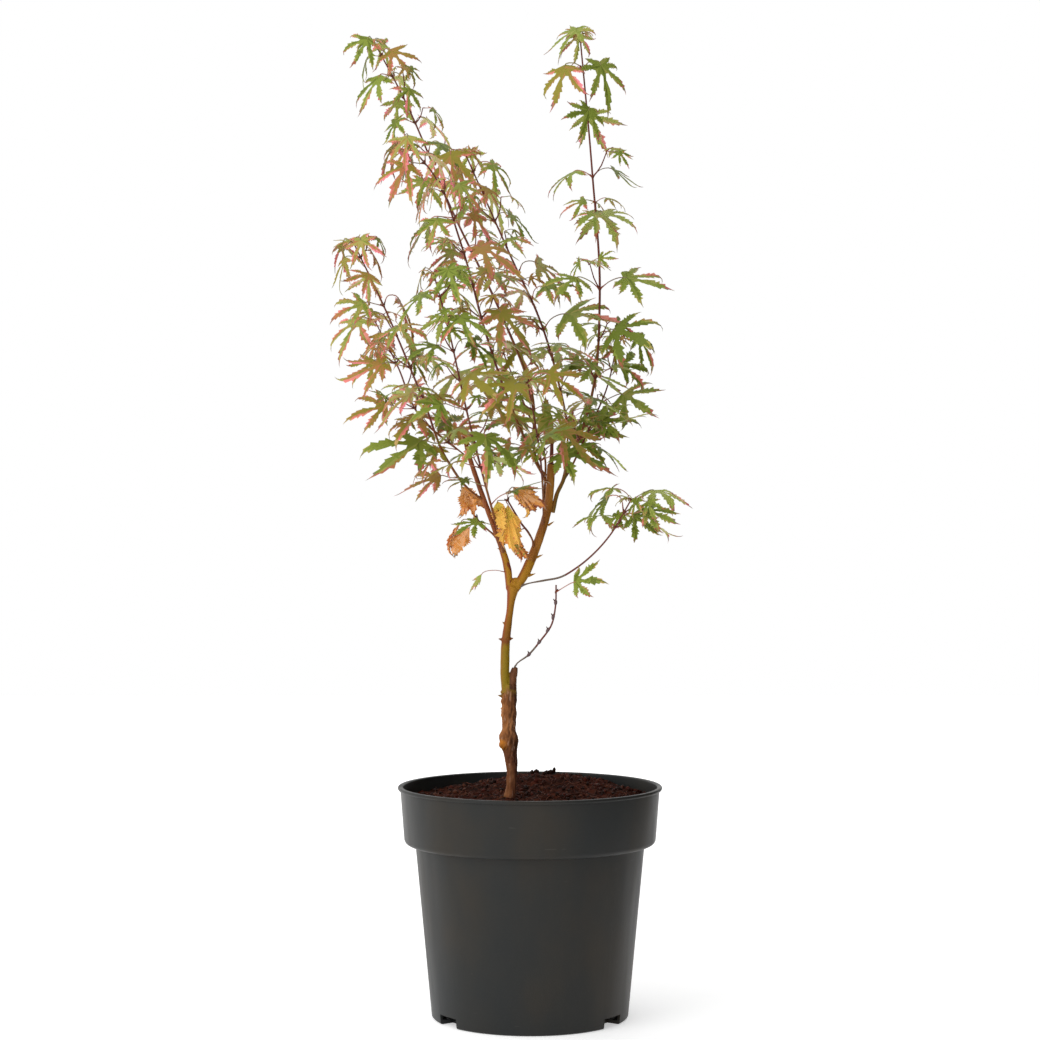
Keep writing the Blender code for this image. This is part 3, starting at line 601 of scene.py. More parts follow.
def between(ends, share):
    """The value at a share of the way from the first end to the last."""
    return ends[0] + share * (ends[-1] - ends[0])


def smooth_route(points, steps):
    """Points about evenly apart on a smooth curve through the given ones."""
    spans = [(b - a).length for a, b in zip(points, points[1:])]
    ways = [(b - a) / span for a, b, span in zip(points, points[1:], spans)]
    slopes = [ways[0]]
    for before, after, near, far in zip(ways, ways[1:], spans, spans[1:]):
        slopes.append((before * far + after * near) / (near + far))
    slopes.append(ways[-1])
    route = []
    for step in range(steps + 1):
        left = step / steps * sum(spans)
        i = 0
        while i < len(spans) - 1 and left > spans[i]:
            left -= spans[i]
            i += 1
        t = left / spans[i]
        start = (2 * t**3 - 3 * t**2 + 1) * points[i] + (3 * t**2 - 2 * t**3) * points[i + 1]
        pull = (t**3 - 2 * t**2 + t) * slopes[i] + (t**3 - t**2) * slopes[i + 1]
        route.append(start + spans[i] * pull)
    return route


def along(route, share):
    """The place and the direction at a share of a route's length."""
    lengths = [(b - a).length for a, b in zip(route, route[1:])]
    left = share * sum(lengths)
    for a, b, length in zip(route, route[1:], lengths):
        if left <= length:
            return a.lerp(b, left / length), (b - a).normalized()
        left -= length
    return route[-1].copy(), (route[-1] - route[-2]).normalized()


def closed_rings(rings, sides):
    """Four-cornered faces between rings of points, and the two end faces."""
    walls = []
    for ring in range(rings - 1):
        for side in range(sides):
            a = ring * sides + side
            b = ring * sides + (side + 1) % sides
            walls.append((a, b, b + sides, a + sides))
    last = (rings - 1) * sides
    return walls, [tuple(reversed(range(sides))), tuple(range(last, last + sides))]


def tube(route, radii, sides, first=None, last=None):
    """Points and faces of a closed limb; first and last turn its end faces."""
    spans = zip([route[0], *route], [*route[1:], route[-1]])
    headings = [(after - before).normalized() for before, after in spans]
    headings[0] = first or headings[0]
    headings[-1] = last or headings[-1]
    across = headings[0].orthogonal()
    points = []
    for centre, radius, heading in zip(route, radii, headings):
        across = squared(across, heading)
        other = heading.cross(across)
        for side in range(sides):
            turn = 2 * math.pi * side / sides
            points.append(centre + radius * (math.cos(turn) * across + math.sin(turn) * other))
    walls, ends = closed_rings(len(route), sides)
    return points, [face for a, b, c, d in walls for face in ((a, b, c), (a, c, d))] + ends


def profiled(points, steps, scale=MM):
    """A smooth route through points that carry a radius, and its radii."""
    rows = smooth_route([Vector(point) * scale for point in points], steps)
    return [row.xyz for row in rows], [row.w for row in rows]


def refined(route, radii, steps):
    """A finer smooth route through a limb's points, and its radii."""
    return profiled([(*place, radius) for place, radius in zip(route, radii)], steps, 1)


# Materials.


class Paint:
    """A material, and the nodes that colour it in the object's own metres."""

    def __init__(self, name, sockets):
        self.made = bpy.data.materials.new(name)
        self.made.use_nodes = True
        self.tree = self.made.node_tree
        self.shader = self.tree.nodes["Principled BSDF"]
        self.fill(self.shader, sockets)

    def fill(self, node, sockets):
        """Links each of a node's sockets, or sets its value."""
        for name, value in sockets.items():
            if isinstance(value, bpy.types.NodeSocket):
                self.tree.links.new(value, node.inputs[name])
            else:
                node.inputs[name].default_value = value

    def finished(self, sockets):
        self.fill(self.shader, sockets)
        return self.made

    def add(self, kind, sockets, output=0, **settings):
        """One output of a new node."""
        node = self.tree.nodes.new(kind)
        for name, value in settings.items():
            setattr(node, name, value)
        self.fill(node, sockets)
        return node.outputs[output]

    def place(self, kind="Object"):
        return self.add("ShaderNodeTexCoord", {}, kind)

    def part(self, axis, kind="Object"):
        return self.add("ShaderNodeSeparateXYZ", {"Vector": self.place(kind)}, axis)

    def noise(self, scale, detail, stretch=(1, 1, 1)):
        """Noise that stretch squeezes along an axis."""
        squeezed = self.add("ShaderNodeMapping", {"Vector": self.place(), "Scale": stretch})
        sockets = {"Vector": squeezed, "Scale": scale, "Detail": detail}
        return self.add("ShaderNodeTexNoise", sockets)

    def ramp(self, factor, stops):
        """Colours dealt out by a factor; each stop is a place and a screen colour."""
        colours = self.add("ShaderNodeValToRGB", {"Fac": factor})
        elements = colours.node.color_ramp.elements
        while len(elements) < len(stops):
            elements.new(0.5)
        for element, (place, colour) in zip(elements, stops):
            element.position = place
            element.color = linear(colour)
        return colours

    def span(self, value, low, high, to_low=0, to_high=1):
        """A value moved from one range to another and held there."""
        sockets = {"Value": value, "From Min": low, "From Max": high}
        sockets |= {"To Min": to_low, "To Max": to_high}
        return self.add("ShaderNodeMapRange", sockets)

    def over(self, base, colour, factor):
        """A colour laid over another by a factor."""
        colour = colour if isinstance(colour, bpy.types.NodeSocket) else linear(colour)
        sockets = {0: factor, 6: base, 7: colour}
        return self.add("ShaderNodeMix", sockets, 2, data_type="RGBA")

    def layered(self, colour, layers):
        """Colours laid over another where their noise is high."""
        for pattern, low, high, most, shade in layers:
            stops = ((low, (0, 0, 0)), (high, (most, most, most)))
            colour = self.over(colour, shade, self.ramp(self.noise(*pattern), stops))
        return colour

    def bump(self, pattern, strength, distance):
        sockets = {"Height": self.noise(*pattern), "Strength": strength, "Distance": distance}
        return self.add("ShaderNodeBump", sockets)

    def near(self, centre, near, far):
        """1 near a place in millimetres, falling to 0 away from it."""
        sockets = {0: self.place(), 1: metres(centre)}
        away = self.add("ShaderNodeVectorMath", sockets, "Value", operation="DISTANCE")
        return self.span(away, near * MM, far * MM, 1, 0)

    def right(self, low=-0.5, high=0.7):
        """0 on faces that look to the left, 1 on those that look to the right."""
        return self.span(self.part("X", "Normal"), low, high)


plain_shades = {}


def plain_shade(name):
    """A plain material of one named shade, made when it is first used."""
    if name not in plain_shades:
        sockets = {
            "Base Color": linear(SHADES[name]),
            "Roughness": STEM_ROUGHNESS if name.startswith(("stem", "bud")) else LEAF_ROUGHNESS,
            "Specular IOR Level": PEAT_SHINE if name.startswith(("peat", "fibre")) else LEAF_SHINE,
        }
        plain_shades[name] = Paint(name, sockets).made
    return plain_shades[name]


# Meshes.


class Pile:
    """Points, faces and the faces' shades, gathered for one joined mesh."""

    def __init__(self):
        self.points = []
        self.faces = []
        self.shades = []

    def add(self, points, faces, shades):
        first = len(self.points)
        self.points += points
        self.faces += [tuple(first + i for i in face) for face in faces]
        self.shades += [shades] * len(faces) if isinstance(shades, str) else shades

    def make(self, name, angle):
        used = sorted(set(self.shades))
        made = add_object(name, self.points, self.faces)
        for shade in used:
            made.data.materials.append(plain_shade(shade))
        places = [used.index(shade) for shade in self.shades]
        made.data.polygons.foreach_set("material_index", places)
        shade_smooth(made, angle)
        return made


def put(name, data):
    """An object that carries this data, placed in the scene."""
    made = bpy.data.objects.new(name, data)
    bpy.context.scene.collection.objects.link(made)
    return made


def add_object(name, points, faces, finish=None):
    mesh = bpy.data.meshes.new(name)
    mesh.from_pydata(points, [], faces)
    mesh.update()
    if finish:
        mesh.materials.append(finish)
    return put(name, mesh)


def shade_smooth(made, angle):
    made.data.shade_smooth()
    made.data.set_sharp_from_angle(angle=math.radians(angle))


def settle(piece, slot, *nodes):
    """The piece rides on the plant's one body and stands for these nodes."""
    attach(piece, "root")
    if nodes:
        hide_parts(*nodes)


def applied(made):
    """Replaces an object's mesh by the one that its modifiers make."""
    bpy.context.view_layer.update()
    finished = made.evaluated_get(bpy.context.evaluated_depsgraph_get())
    mesh = bpy.data.meshes.new_from_object(finished)
    made.modifiers.clear()
    made.data = mesh


# Pot.


def arc(across, up, radius, first):
    """A quarter turn of the pot's outline round a centre, from an angle on."""
    turns = [math.radians(first + 90 * step / ARC_STEPS) for step in range(ARC_STEPS + 1)]
    return [(across + radius * math.cos(t), up + radius * math.sin(t)) for t in turns]


def pot_profile():
    """The pot's outline of radius and height, up the outside and down the inside."""
    step = COLLAR_BOTTOM + WALL
    band = POT_HEIGHT - RIM_BAND
    rim = RIM_RADIUS - RIM_ROUND
    top = POT_HEIGHT - RIM_ROUND
    return [
        (0, 0),
        *arc(FOOT_RADIUS - FOOT_ROUND, FOOT_ROUND, FOOT_ROUND, -90),
        (BODY_RADIUS, COLLAR_BOTTOM),
        *arc(COLLAR_LOW_RADIUS - COLLAR_ROUND, COLLAR_BOTTOM + COLLAR_ROUND, COLLAR_ROUND, -90),
        (COLLAR_TOP_RADIUS, band),
        *arc(rim, band + RIM_ROUND, RIM_ROUND, -90),
        *arc(rim, top, RIM_ROUND, 0),
        *arc(COLLAR_TOP_RADIUS - WALL + RIM_ROUND, top, RIM_ROUND, 90),
        (COLLAR_LOW_RADIUS - WALL, step),
        (BODY_RADIUS - WALL, step),
        (FOOT_RADIUS - WALL, FLOOR),
        (0, FLOOR),
    ]


def turned(name, profile, finish):
    """A solid of revolution from its outline of radius and height."""
    mesh = bmesh.new()
    line = [mesh.verts.new((radius, 0, height)) for radius, height in profile]
    sides = [mesh.edges.new(pair) for pair in zip(line, line[1:])]
    bmesh.ops.spin(
        mesh, geom=line + sides, axis=UP, cent=(0, 0, 0), steps=POT_SEGMENTS, angle=2 * math.pi
    )
    bmesh.ops.remove_doubles(mesh, verts=mesh.verts, dist=0.01 * MM)
    bmesh.ops.recalc_face_normals(mesh, faces=mesh.faces)
    made = add_object(name, [], [], finish)
    mesh.to_mesh(made.data)
    mesh.free()
    return made


def cut_slots(pot):
    """Drain slots through the corner of the floor and the wall, on both sides."""
    cutters = []
    for turn in (SLOT_ANGLE, -SLOT_ANGLE, 180 - SLOT_ANGLE, SLOT_ANGLE - 180):
        bpy.ops.mesh.primitive_cube_add(size=1)
        cutter = bpy.context.object
        cutter.dimensions = (SLOT_WIDTH, 2 * SLOT_DEPTH, 2 * SLOT_HEIGHT)
        way = Quaternion(UP, math.radians(turn))
        cutter.location = way @ Vector((0, -FOOT_RADIUS, 0))
        cutter.rotation_euler = way.to_euler()
        cut = pot.modifiers.new("slot", "BOOLEAN")
        cut.object = cutter
        cut.solver = "EXACT"
        cutters.append(cutter)
    applied(pot)
    for cutter in cutters:
        bpy.data.objects.remove(cutter)


def pot_plastic():
    """Dark grey plastic: a fine grain, faint streaks down the wall, dust and scratches."""
    paint = Paint("pot_plastic", {"Specular IOR Level": POT_SHINE})
    clouds = paint.ramp(paint.noise(*POT_CLOUDS), POT_COLOURS)
    roughness = paint.span(paint.noise(*POT_STREAKS), *POT_ROUGHNESS)
    sockets = {"Base Color": paint.layered(clouds, POT_LAYERS), "Roughness": roughness}
    return paint.finished(sockets | {"Normal": paint.bump(*POT_BUMP)})


def make_pot():
    pot = turned("pot_shell", pot_profile(), pot_plastic())
    cut_slots(pot)
    shade_smooth(pot, POT_CREASE)
    settle(pot, "pot_plastic", "pot")


# Soil.


def soil_height(x, y):
    """The soil's level with its mound and its lumps."""
    from_mound = (Vector((x, y)) - MOUND_PLACE).length
    height = SOIL_LEVEL + MOUND_HEIGHT * math.exp(-((from_mound / MOUND_SPREAD) ** 2) / 2)
    for size, rise in LUMPS:
        height += rise * noise.noise(Vector((x, y, SOIL_SEED * size)) / size)
    return height


def wall_inside(height):
    """The radius of the collar's inner face at a height."""
    share = (height - COLLAR_BOTTOM - WALL) / (POT_HEIGHT - COLLAR_BOTTOM - WALL)
    return COLLAR_LOW_RADIUS - WALL + share * (COLLAR_TOP_RADIUS - COLLAR_LOW_RADIUS)


def soil_finish():
    """Damp red-brown peat in darker and paler patches, paler still where its fine bump stands
    highest.
    """
    paint = Paint("soil", {"Roughness": SOIL_ROUGHNESS, "Specular IOR Level": PEAT_SHINE})
    colour = paint.layered(paint.ramp(paint.noise(*SOIL_PATCHES), SOIL_COLOURS), SOIL_LAYERS)
    return paint.finished({"Base Color": colour, "Normal": paint.bump(*SOIL_BUMP)})


def make_soil():
    """Rings up the inside of the pot, then rings that close in over the top."""
    step = COLLAR_BOTTOM + WALL + GAP
    circle = [compass(2 * math.pi * side / SOIL_SEGMENTS) for side in range(SOIL_SEGMENTS)]
    sizes = (
        (FOOT_RADIUS - SOIL_FOOT_INSET, FLOOR + GAP),
        (FOOT_RADIUS, FLOOR + SOIL_FOOT_RISE),
        (BODY_RADIUS, step),
        (COLLAR_LOW_RADIUS, step),
    )
    points = [(radius - WALL - GAP) * c + height * UP for radius, height in sizes for c in circle]
    edge = wall_inside(SOIL_LEVEL) - GAP
    for ring in range(SOIL_RINGS):
        for c in circle:
            place = edge * (1 - ring / SOIL_RINGS) * c
            place.z = soil_height(place.x, place.y)
            points.append(place)
    walls, ends = closed_rings(len(sizes) + SOIL_RINGS, SOIL_SEGMENTS)
    soil = add_object("soil_fill", points, walls + ends, soil_finish())
    shade_smooth(soil, SOIL_CREASE)
    settle(soil, "soil", "soil")


# Trunk and limbs.


def bark_skin(name, shapes, rise, finish):
    """One skin over closed tubes and lumps, with the relief of its bark."""
    pile = Pile()
    for points, faces in shapes:
        pile.add(points, faces, "bud")
    made = add_object(name, pile.points, pile.faces)
    remesh = made.modifiers.new("skin", "REMESH")
    remesh.mode = "VOXEL"
    remesh.voxel_size = BARK_VOXEL
    even = made.modifiers.new("even", "SMOOTH")
    even.factor = 0.5
    even.iterations = 3
    applied(made)
    mesh = made.data
    moved = [v.co + v.normal * rise(v.co) for v in mesh.vertices]
    mesh.vertices.foreach_set("co", [value for point in moved for value in point])
    mesh.update()
    mesh.materials.clear()
    mesh.materials.append(finish)
    shade_smooth(made, BARK_CREASE)
    return made


def ball(subdivisions, radius):
    """Points and faces of a closed ball round the origin."""
    mesh = bmesh.new()
    bmesh.ops.create_icosphere(mesh, subdivisions=subdivisions, radius=radius)
    points = [v.co.copy() for v in mesh.verts]
    faces = [tuple(v.index for v in face.verts) for face in mesh.faces]
    mesh.free()
    return points, faces


def rough_share(place):
    """1 on the rootstock's old bark and its stub, falling to 0 on the smooth scion."""
    if place.z > GRAFT_HEIGHT and place.x < STUB_EDGE or place.z > STUB_TOP:
        return max(0.0, 1 - (place.z - GRAFT_HEIGHT) / GRAFT_FADE)
    return 1.0


def relief(place, layers):
    """How far bark stands out: noise by its size, its rise and its stretch along the trunk."""
    total = 0.0
    for size, rise, stretch in layers:
        spot = Vector((place.x, place.y, place.z * stretch))
        total += noise.noise(spot / (size * MM)) * rise * MM
    return total


def trunk_relief(place):
    rough = rough_share(place)
    return rough * relief(place, OLD_RELIEF) + (1 - rough) * relief(place, YOUNG_RELIEF)


def limb_relief(place):
    return relief(place, LIMB_RELIEF)


def trunk_finish():
    """Old brown bark below the graft, then young bark, green to the right and orange to the left."""
    paint = Paint("trunk_bark", {"Specular IOR Level": BARK_SHINE})
    height = paint.part("Z")
    patches = paint.noise(*TRUNK_PATCHES)
    # Painted light and shade: the old bark's lit copy turns to its shaded copy on faces that look
    # right.
    shady = paint.ramp(patches, SHADY_BARK)
    old = paint.over(paint.ramp(patches, SUNNY_BARK), shady, paint.right())
    old = paint.over(old, FOOT_BARK, paint.span(height, *FOOT_SPAN, 0, 0.5))
    old = paint.layered(old, TRUNK_LAYERS)
    old = paint.over(old, BULGE_BARK, paint.near(BULGE, *BULGE_REACH))
    wander = paint.span(patches, *WANDER)
    reach = paint.add("ShaderNodeMath", {0: height, 1: wander})
    share = paint.span(reach, *YOUNG_SPAN)
    strip = paint.right(*STRIP_SPAN)
    young = paint.over(paint.ramp(share, ORANGE_BARK), paint.ramp(share, GREEN_BARK), strip)
    # Painted shade on the stub: near it, on its side of the scion, the bark takes the shaded copy.
    beside = paint.span(paint.part("X"), *STUB_SPAN)
    sockets = {0: paint.near(STUB[1], *STUB_REACH), 1: beside}
    stub = paint.add("ShaderNodeMath", sockets, operation="MULTIPLY")
    graft = paint.span(reach, *GRAFT_SPAN)
    sockets = {
        "Base Color": paint.over(paint.over(old, young, graft), shady, stub),
        "Roughness": paint.span(graft, 0, 1, *BARK_ROUGHNESS),
        "Normal": paint.bump(*TRUNK_BUMP),
    }
    return paint.finished(sockets)


def limb_finish(name, colours):
    """Smooth young bark, mottled along the limb, with painted light that makes it more orange on the
    left.
    """
    paint = Paint(name, {"Roughness": BARK_ROUGHNESS[1], "Specular IOR Level": BARK_SHINE})
    colour = paint.ramp(paint.noise(*LIMB_PATCHES), tuple(zip(LIMB_STOPS, colours)))
    # Painted light: faces that look left take up to half of the lit colour.
    colour = paint.over(colour, SUNNY_LIMB, paint.span(paint.right(), 0, 1, 0.5, 0))
    return paint.finished({"Base Color": colour, "Normal": paint.bump(*LIMB_BUMP)})


def thorn(place, turn, radius, length):
    """A short pointed thorn or bud that leans out and up."""
    turn = math.radians(turn)
    way = Vector((math.cos(turn), -THORN_FORWARD, math.sin(turn))).normalized()
    route = [place + way * length * share * MM for share, _ in THORN_PROFILE]
    return tube(route, [radius * girth * MM for _, girth in THORN_PROFILE], THORN_SIDES)


def make_trunk(limbs):
    shapes = []
    for points, steps in ((STOCK, STOCK_STEPS), (STUB, STUB_STEPS), (SCION, SCION_STEPS)):
        shapes.append(tube(*profiled(points, steps * 2), TRUNK_SIDES))
    for name in ("left_leader", "right_leader"):
        route, radii = limbs[name][:2]
        sunk = route[0] - SKIN_SUNK * MM * UP
        radii = [radius * SKIN_SWELL for radius in radii[:CROTCH_STEPS]]
        shapes.append(tube([sunk, *route[:CROTCH_STEPS]], [radii[0], *radii], TRUNK_SIDES))
    for lump in (*KNOBS, *CROTCH):
        points, faces = ball(3, lump[3] * MM)
        shapes.append(([point + metres(lump) for point in points], faces))
    shapes += [thorn(metres(spec), *spec[3:]) for spec in THORNS]
    for ring in NODE_RINGS:
        route = [metres(ring) + rise * MM * UP for rise, _ in RING_PROFILE]
        radii = [ring[3] * girth * MM for _, girth in RING_PROFILE]
        shapes.append(tube(route, radii, TRUNK_SIDES))
    trunk = bark_skin("trunk_bark", shapes, trunk_relief, trunk_finish())
    settle(trunk, "bark", "trunk")


def make_limbs(shapes):
    for name, colours in LIMB_BARK.items():
        route, radii, _, _ = shapes[name]
        if name == "right_leader":
            route, radii = profiled(RIGHT_LEADER[:LEADER_CUT], RIGHT_STEPS)
        sunk = route[0] - (route[1] - route[0]).normalized() * radii[0]
        fine, wide = refined([sunk, *route], [radii[0], *radii], len(route) * FINE_STEPS)
        skin = [tube(fine, wide, TRUNK_SIDES)]
        limb = bark_skin(name + "_bark", skin, limb_relief, limb_finish(name, colours))
        settle(limb, "young_bark", name)
    top, *tip = map(metres, RIGHT_LEADER[LEADER_CUT - 1 :])
    pile = Pile()
    pile.add(*tube([top - MM * UP, *tip], LEADER_TIP_RADII, LEADER_TIP_SIDES), "stem_maroon")
    pile.add(*spindle(top, UP, *LEADER_SWELLING), "bud")
    settle(pile.make("leader_tip", STEM_CREASE), "young_bark", "right_leader")


# Growth, by the rule of the frame's solids.


def limb_shapes():
    """Every limb that a shoot may leave: its route, radii and end faces."""
    shapes = {"stub": (*profiled(STUB, STUB_STEPS), None, None)}
    shapes["left_leader"] = (*profiled(LEFT_LEADER, LEFT_STEPS), UP, None)
    shapes["right_leader"] = (*profiled(RIGHT_LEADER, RIGHT_STEPS), UP, None)
    radii = [radius * MM for radius in OUTER_RADII]
    shapes["outer_shoot"] = stem(shapes["right_leader"], OUTER_AT, OUTER_SHOOT, radii)
    return shapes


def stem(limb, share, points, radii):
    """A shoot's route from just clear of its limb, its radii and its foot's heading."""
    route, limb_radii, _, _ = limb
    place, heading = along(route, share)
    if share == 1.0:
        facing = heading
        start = place + GAP * facing
    else:
        facing = squared(metres(points[0]) - place, heading)
        girth = limb_radii[round(share * (len(limb_radii) - 1))]
        start = place + (girth + GAP + radii[0] * math.sin(FORK_TILT)) * facing
        facing = facing * math.cos(FORK_TILT) + heading * math.sin(FORK_TILT)
    through = [start, start + facing * 2 * radii[0], *map(metres, points)]
    reach = sum((b - a).length for a, b in zip(through, through[1:]))
    steps = max(round(reach / STEM_STEP), 4)
    wide = [between(radii, i / steps) for i in range(steps + 1)]
    return smooth_route(through, steps), wide, facing, None


def blade_point(leaf, reach, turn, lift):
    """A point of a leaf's blade, bent down towards its tips."""
    size = leaf["size"]
    forward = reach * math.cos(turn) * size
    sideways = reach * math.sin(turn) * size
    lift -= leaf["bend"] * size * reach**2 + leaf["curl"] * sideways**2 / size
    place = leaf["base"] + leaf["axis"] * forward
    return place + leaf["side"] * sideways + leaf["normal"] * lift


def stalk_rings(leaf, extra):
    """Rings of three points along a leaf's stalk: right, left and below."""
    place, bend, foot = leaf["stalk"]
    headings = (bend - place, foot - place, (foot - bend).normalized() + leaf["axis"])
    across = leaf["side"]
    points = []
    for centre, heading, radius in reversed(list(zip(leaf["stalk"], headings, STALK_RADII))):
        heading = heading.normalized()
        across = squared(across, heading)
        below = across.cross(heading)
        reach = radius + extra
        points = [centre + reach * way for way in (across, -across, below)] + points
    return points


def leaf_shape(leaf, extra=0.0):
    """Points of a leaf, with the triangles of its blade and those of its stalk."""
    points = stalk_rings(leaf, extra)
    stalk = [(2, 1, 0)]
    for ring in (0, 3):
        for a, b in ((0, 1), (1, 2), (2, 0)):
            stalk += [(ring + a, ring + b, ring + b + 3), (ring + a, ring + b + 3, ring + a + 3)]
    right, left, below = 6, 7, 8
    top, bottom = 9, 10
    points += [blade_point(leaf, 0, 0, s * (LEAF_THICKNESS / 2 + extra)) for s in (1, -1)]
    outline = [left]
    before = None
    for turn, length in zip(map(math.radians, LOBE_ANGLES), LOBE_LENGTHS):
        half = LOBE_HALF_WIDTH * (LEAST_WIDTH + (1 - LEAST_WIDTH) * length)
        spread = math.atan2(half, LOBE_WIDE_AT * length)
        reach = math.hypot(half, LOBE_WIDE_AT * length)
        marks = [(reach, turn - spread), (length, turn), (reach, turn + spread)]
        if before is not None:
            marks.insert(0, (NOTCH_DEPTH, (before + turn) / 2))
        before = turn
        outline += range(len(points), len(points) + len(marks))
        points += [blade_point(leaf, *mark, 0) for mark in marks]
    outline.append(right)
    blade = [(top, right, left), (bottom, left, below), (bottom, below, right)]
    for a, b in zip(outline, outline[1:]):
        blade += [(top, a, b), (bottom, b, a)]
    return points, blade, stalk


def tree_of(points, faces):
    return BVHTree.FromPolygons(points, faces)


def new_leaf(shoot, place, heading, share, turn, draw):
    """A leaf on its stalk, from its place on the shoot and its small differences."""
    outward = squared(compass(turn), heading)
    length = between(shoot["stalk"], share) * draw["stalk"] * MM
    hang = math.radians(between(shoot["hang"], share**HANG_RISE) + draw["hang"])
    rise = (outward * STALK_OUT + heading * STALK_UP).normalized()
    flat = Vector((outward.x, outward.y, 0)).normalized()
    level = (flat + UP * (STALK_LIFT - STALK_DROP * math.sin(hang))).normalized()
    place = place + STALK_SUNK * outward
    bend = place + rise * length * 0.5
    foot = bend + level * length * 0.5
    axis = (flat * math.cos(hang) - UP * math.sin(hang)).normalized()
    normal = squared(flat * math.sin(hang) + UP * math.cos(hang) + FACE_FRONT, axis)
    axis = Quaternion(normal, math.radians(draw["swing"])) @ axis
    normal = Quaternion(axis, math.radians(draw["roll"])) @ normal
    size = shoot["leaf"] * MM * draw["size"] * (1 + LEAF_SHRINK * (0.5 - share))
    return dict(
        base=foot + axis * FOOT_NOTCH * size, axis=axis, normal=normal, side=normal.cross(axis),
        size=size, bend=draw["bend"] * (LEAST_BEND + share), curl=draw["curl"],
        stalk=[place, bend, foot], share=share,
    )


def hung_leaf(stalk, way, length):
    """A withered leaf that hangs by itself."""
    axis = Vector(way).normalized()
    side = axis.cross(HUNG_FACE).normalized()
    stalk = [metres(point) for point in stalk]
    return dict(
        base=stalk[-1] + axis * FOOT_NOTCH * length * MM, axis=axis, normal=axis.cross(side),
        side=side, size=length * MM, bend=HUNG_BEND, curl=HUNG_CURL, stalk=stalk, share=1.0,
    )


def leaf_draw(rng):
    """The small differences between one leaf and the next."""
    return {name: rng.uniform(*span) for name, span in DRAWS.items()}


def node_places(shoot, route):
    """Each pair of leaves: its turn, its share of the shoot, its place and its heading."""
    for pair, node in enumerate(shoot["nodes"]):
        share = min(node / 100, LAST_SHARE)
        yield shoot["facing"] + PAIR_TURN * pair, share, *along(route, share)


def grow(shoot, route, stems, taken):
    """The leaves of one shoot; a leaf that would touch something is turned or left out."""
    rng = random.Random(shoot["seed"])
    others = [tree for name, tree in stems.items() if name != shoot["name"]]
    leaves = []
    for facing, share, place, heading in node_places(shoot, route):
        partner = None
        for half in shoot.get("halves", BOTH_SIDES):
            draw = leaf_draw(rng)
            for extra_turn in TRIES:
                turn = facing + half + draw["turn"] + extra_turn
                leaf = new_leaf(shoot, place, heading, share, math.radians(turn), draw)
                points, blade, stalk = leaf_shape(leaf, CLEARANCE)
                wide, slim = tree_of(points, blade), tree_of(points, stalk)
                hit = any(wide.overlap(tree) for tree in [*stems.values(), *taken])
                far = [tree for tree in [*others, *taken] if tree is not partner]
                if hit or any(slim.overlap(tree) for tree in far):
                    continue
                leaves.append(leaf)
                points, blade, stalk = leaf_shape(leaf)
                partner = tree_of(points, stalk)
                taken += [tree_of(points, blade), partner]
                break
    return leaves


# Fine leaves.


def lobe_width(share):
    """How wide a lobe is at a share of its length; its widest is 1."""
    peak_at = LOBE_RISE / (LOBE_RISE + LOBE_FALL)
    peak = peak_at**LOBE_RISE * (1 - peak_at) ** LOBE_FALL
    return share**LOBE_RISE * (1 - share) ** LOBE_FALL / peak


def lobe_edges(start, rng):
    """Shares down a lobe, and each edge's half widths and forward lean, with teeth by turns."""
    shares = []
    edges = ([], [])
    for step in range(2 * TEETH):
        shift = rng.uniform(-TOOTH_SHIFT, TOOTH_SHIFT)
        shares.append(start + (TOOTH_END - start) * (step + 0.5 + shift) / (2 * TEETH))
        for side, edge in enumerate(edges):
            widths, lean = (TOOTH_POINT, TOOTH_LEAN) if (step + side) % 2 else (TOOTH_VALLEY, 0.0)
            edge.append((lobe_width(shares[-1]) * rng.uniform(*widths), lean))
    for share in TAIL_SHARES:
        shares.append(share)
        for edge in edges:
            edge.append((lobe_width(share), 0.0))
    return shares, edges


def lobe_spine(leaf, turn, length, habit, shares):
    """The midrib's points, with the directions across and up at each."""
    way = leaf["axis"] * math.cos(turn) + leaf["side"] * math.sin(turn)
    across = leaf["side"] * math.cos(turn) - leaf["axis"] * math.sin(turn)
    arch = leaf["bend"] + leaf["curl"] * math.sin(turn) ** 2
    give = UPRIGHT_GIVE + (1 - UPRIGHT_GIVE) * max(leaf["normal"].z, 0)
    place = leaf["base"]
    before = 0.0
    rows = []
    for share in shares:
        reach = share * length
        middle = (before + reach) / 2
        tail = (max(share - TAIL_FROM, 0) / (1 - TAIL_FROM)) ** 2
        pitch = (math.atan(2 * middle * arch) + habit["droop"] * middle**2) * give
        pitch += habit["tail_drop"] * tail
        sweep = habit["sweep"] * middle**2 + habit["tail_sweep"] * tail
        flat = Quaternion(leaf["normal"], sweep) @ way
        heading = flat * math.cos(pitch) - leaf["normal"] * math.sin(pitch)
        heading = (heading - UP * habit["sag"] * middle**2).normalized()
        place = place + heading * (reach - before) * leaf["size"]
        across = squared(across, heading)
        turned_across = Quaternion(heading, habit["twist"] * reach**2) @ across
        rows.append((place, turned_across, heading.cross(turned_across)))
        before = reach
    return rows


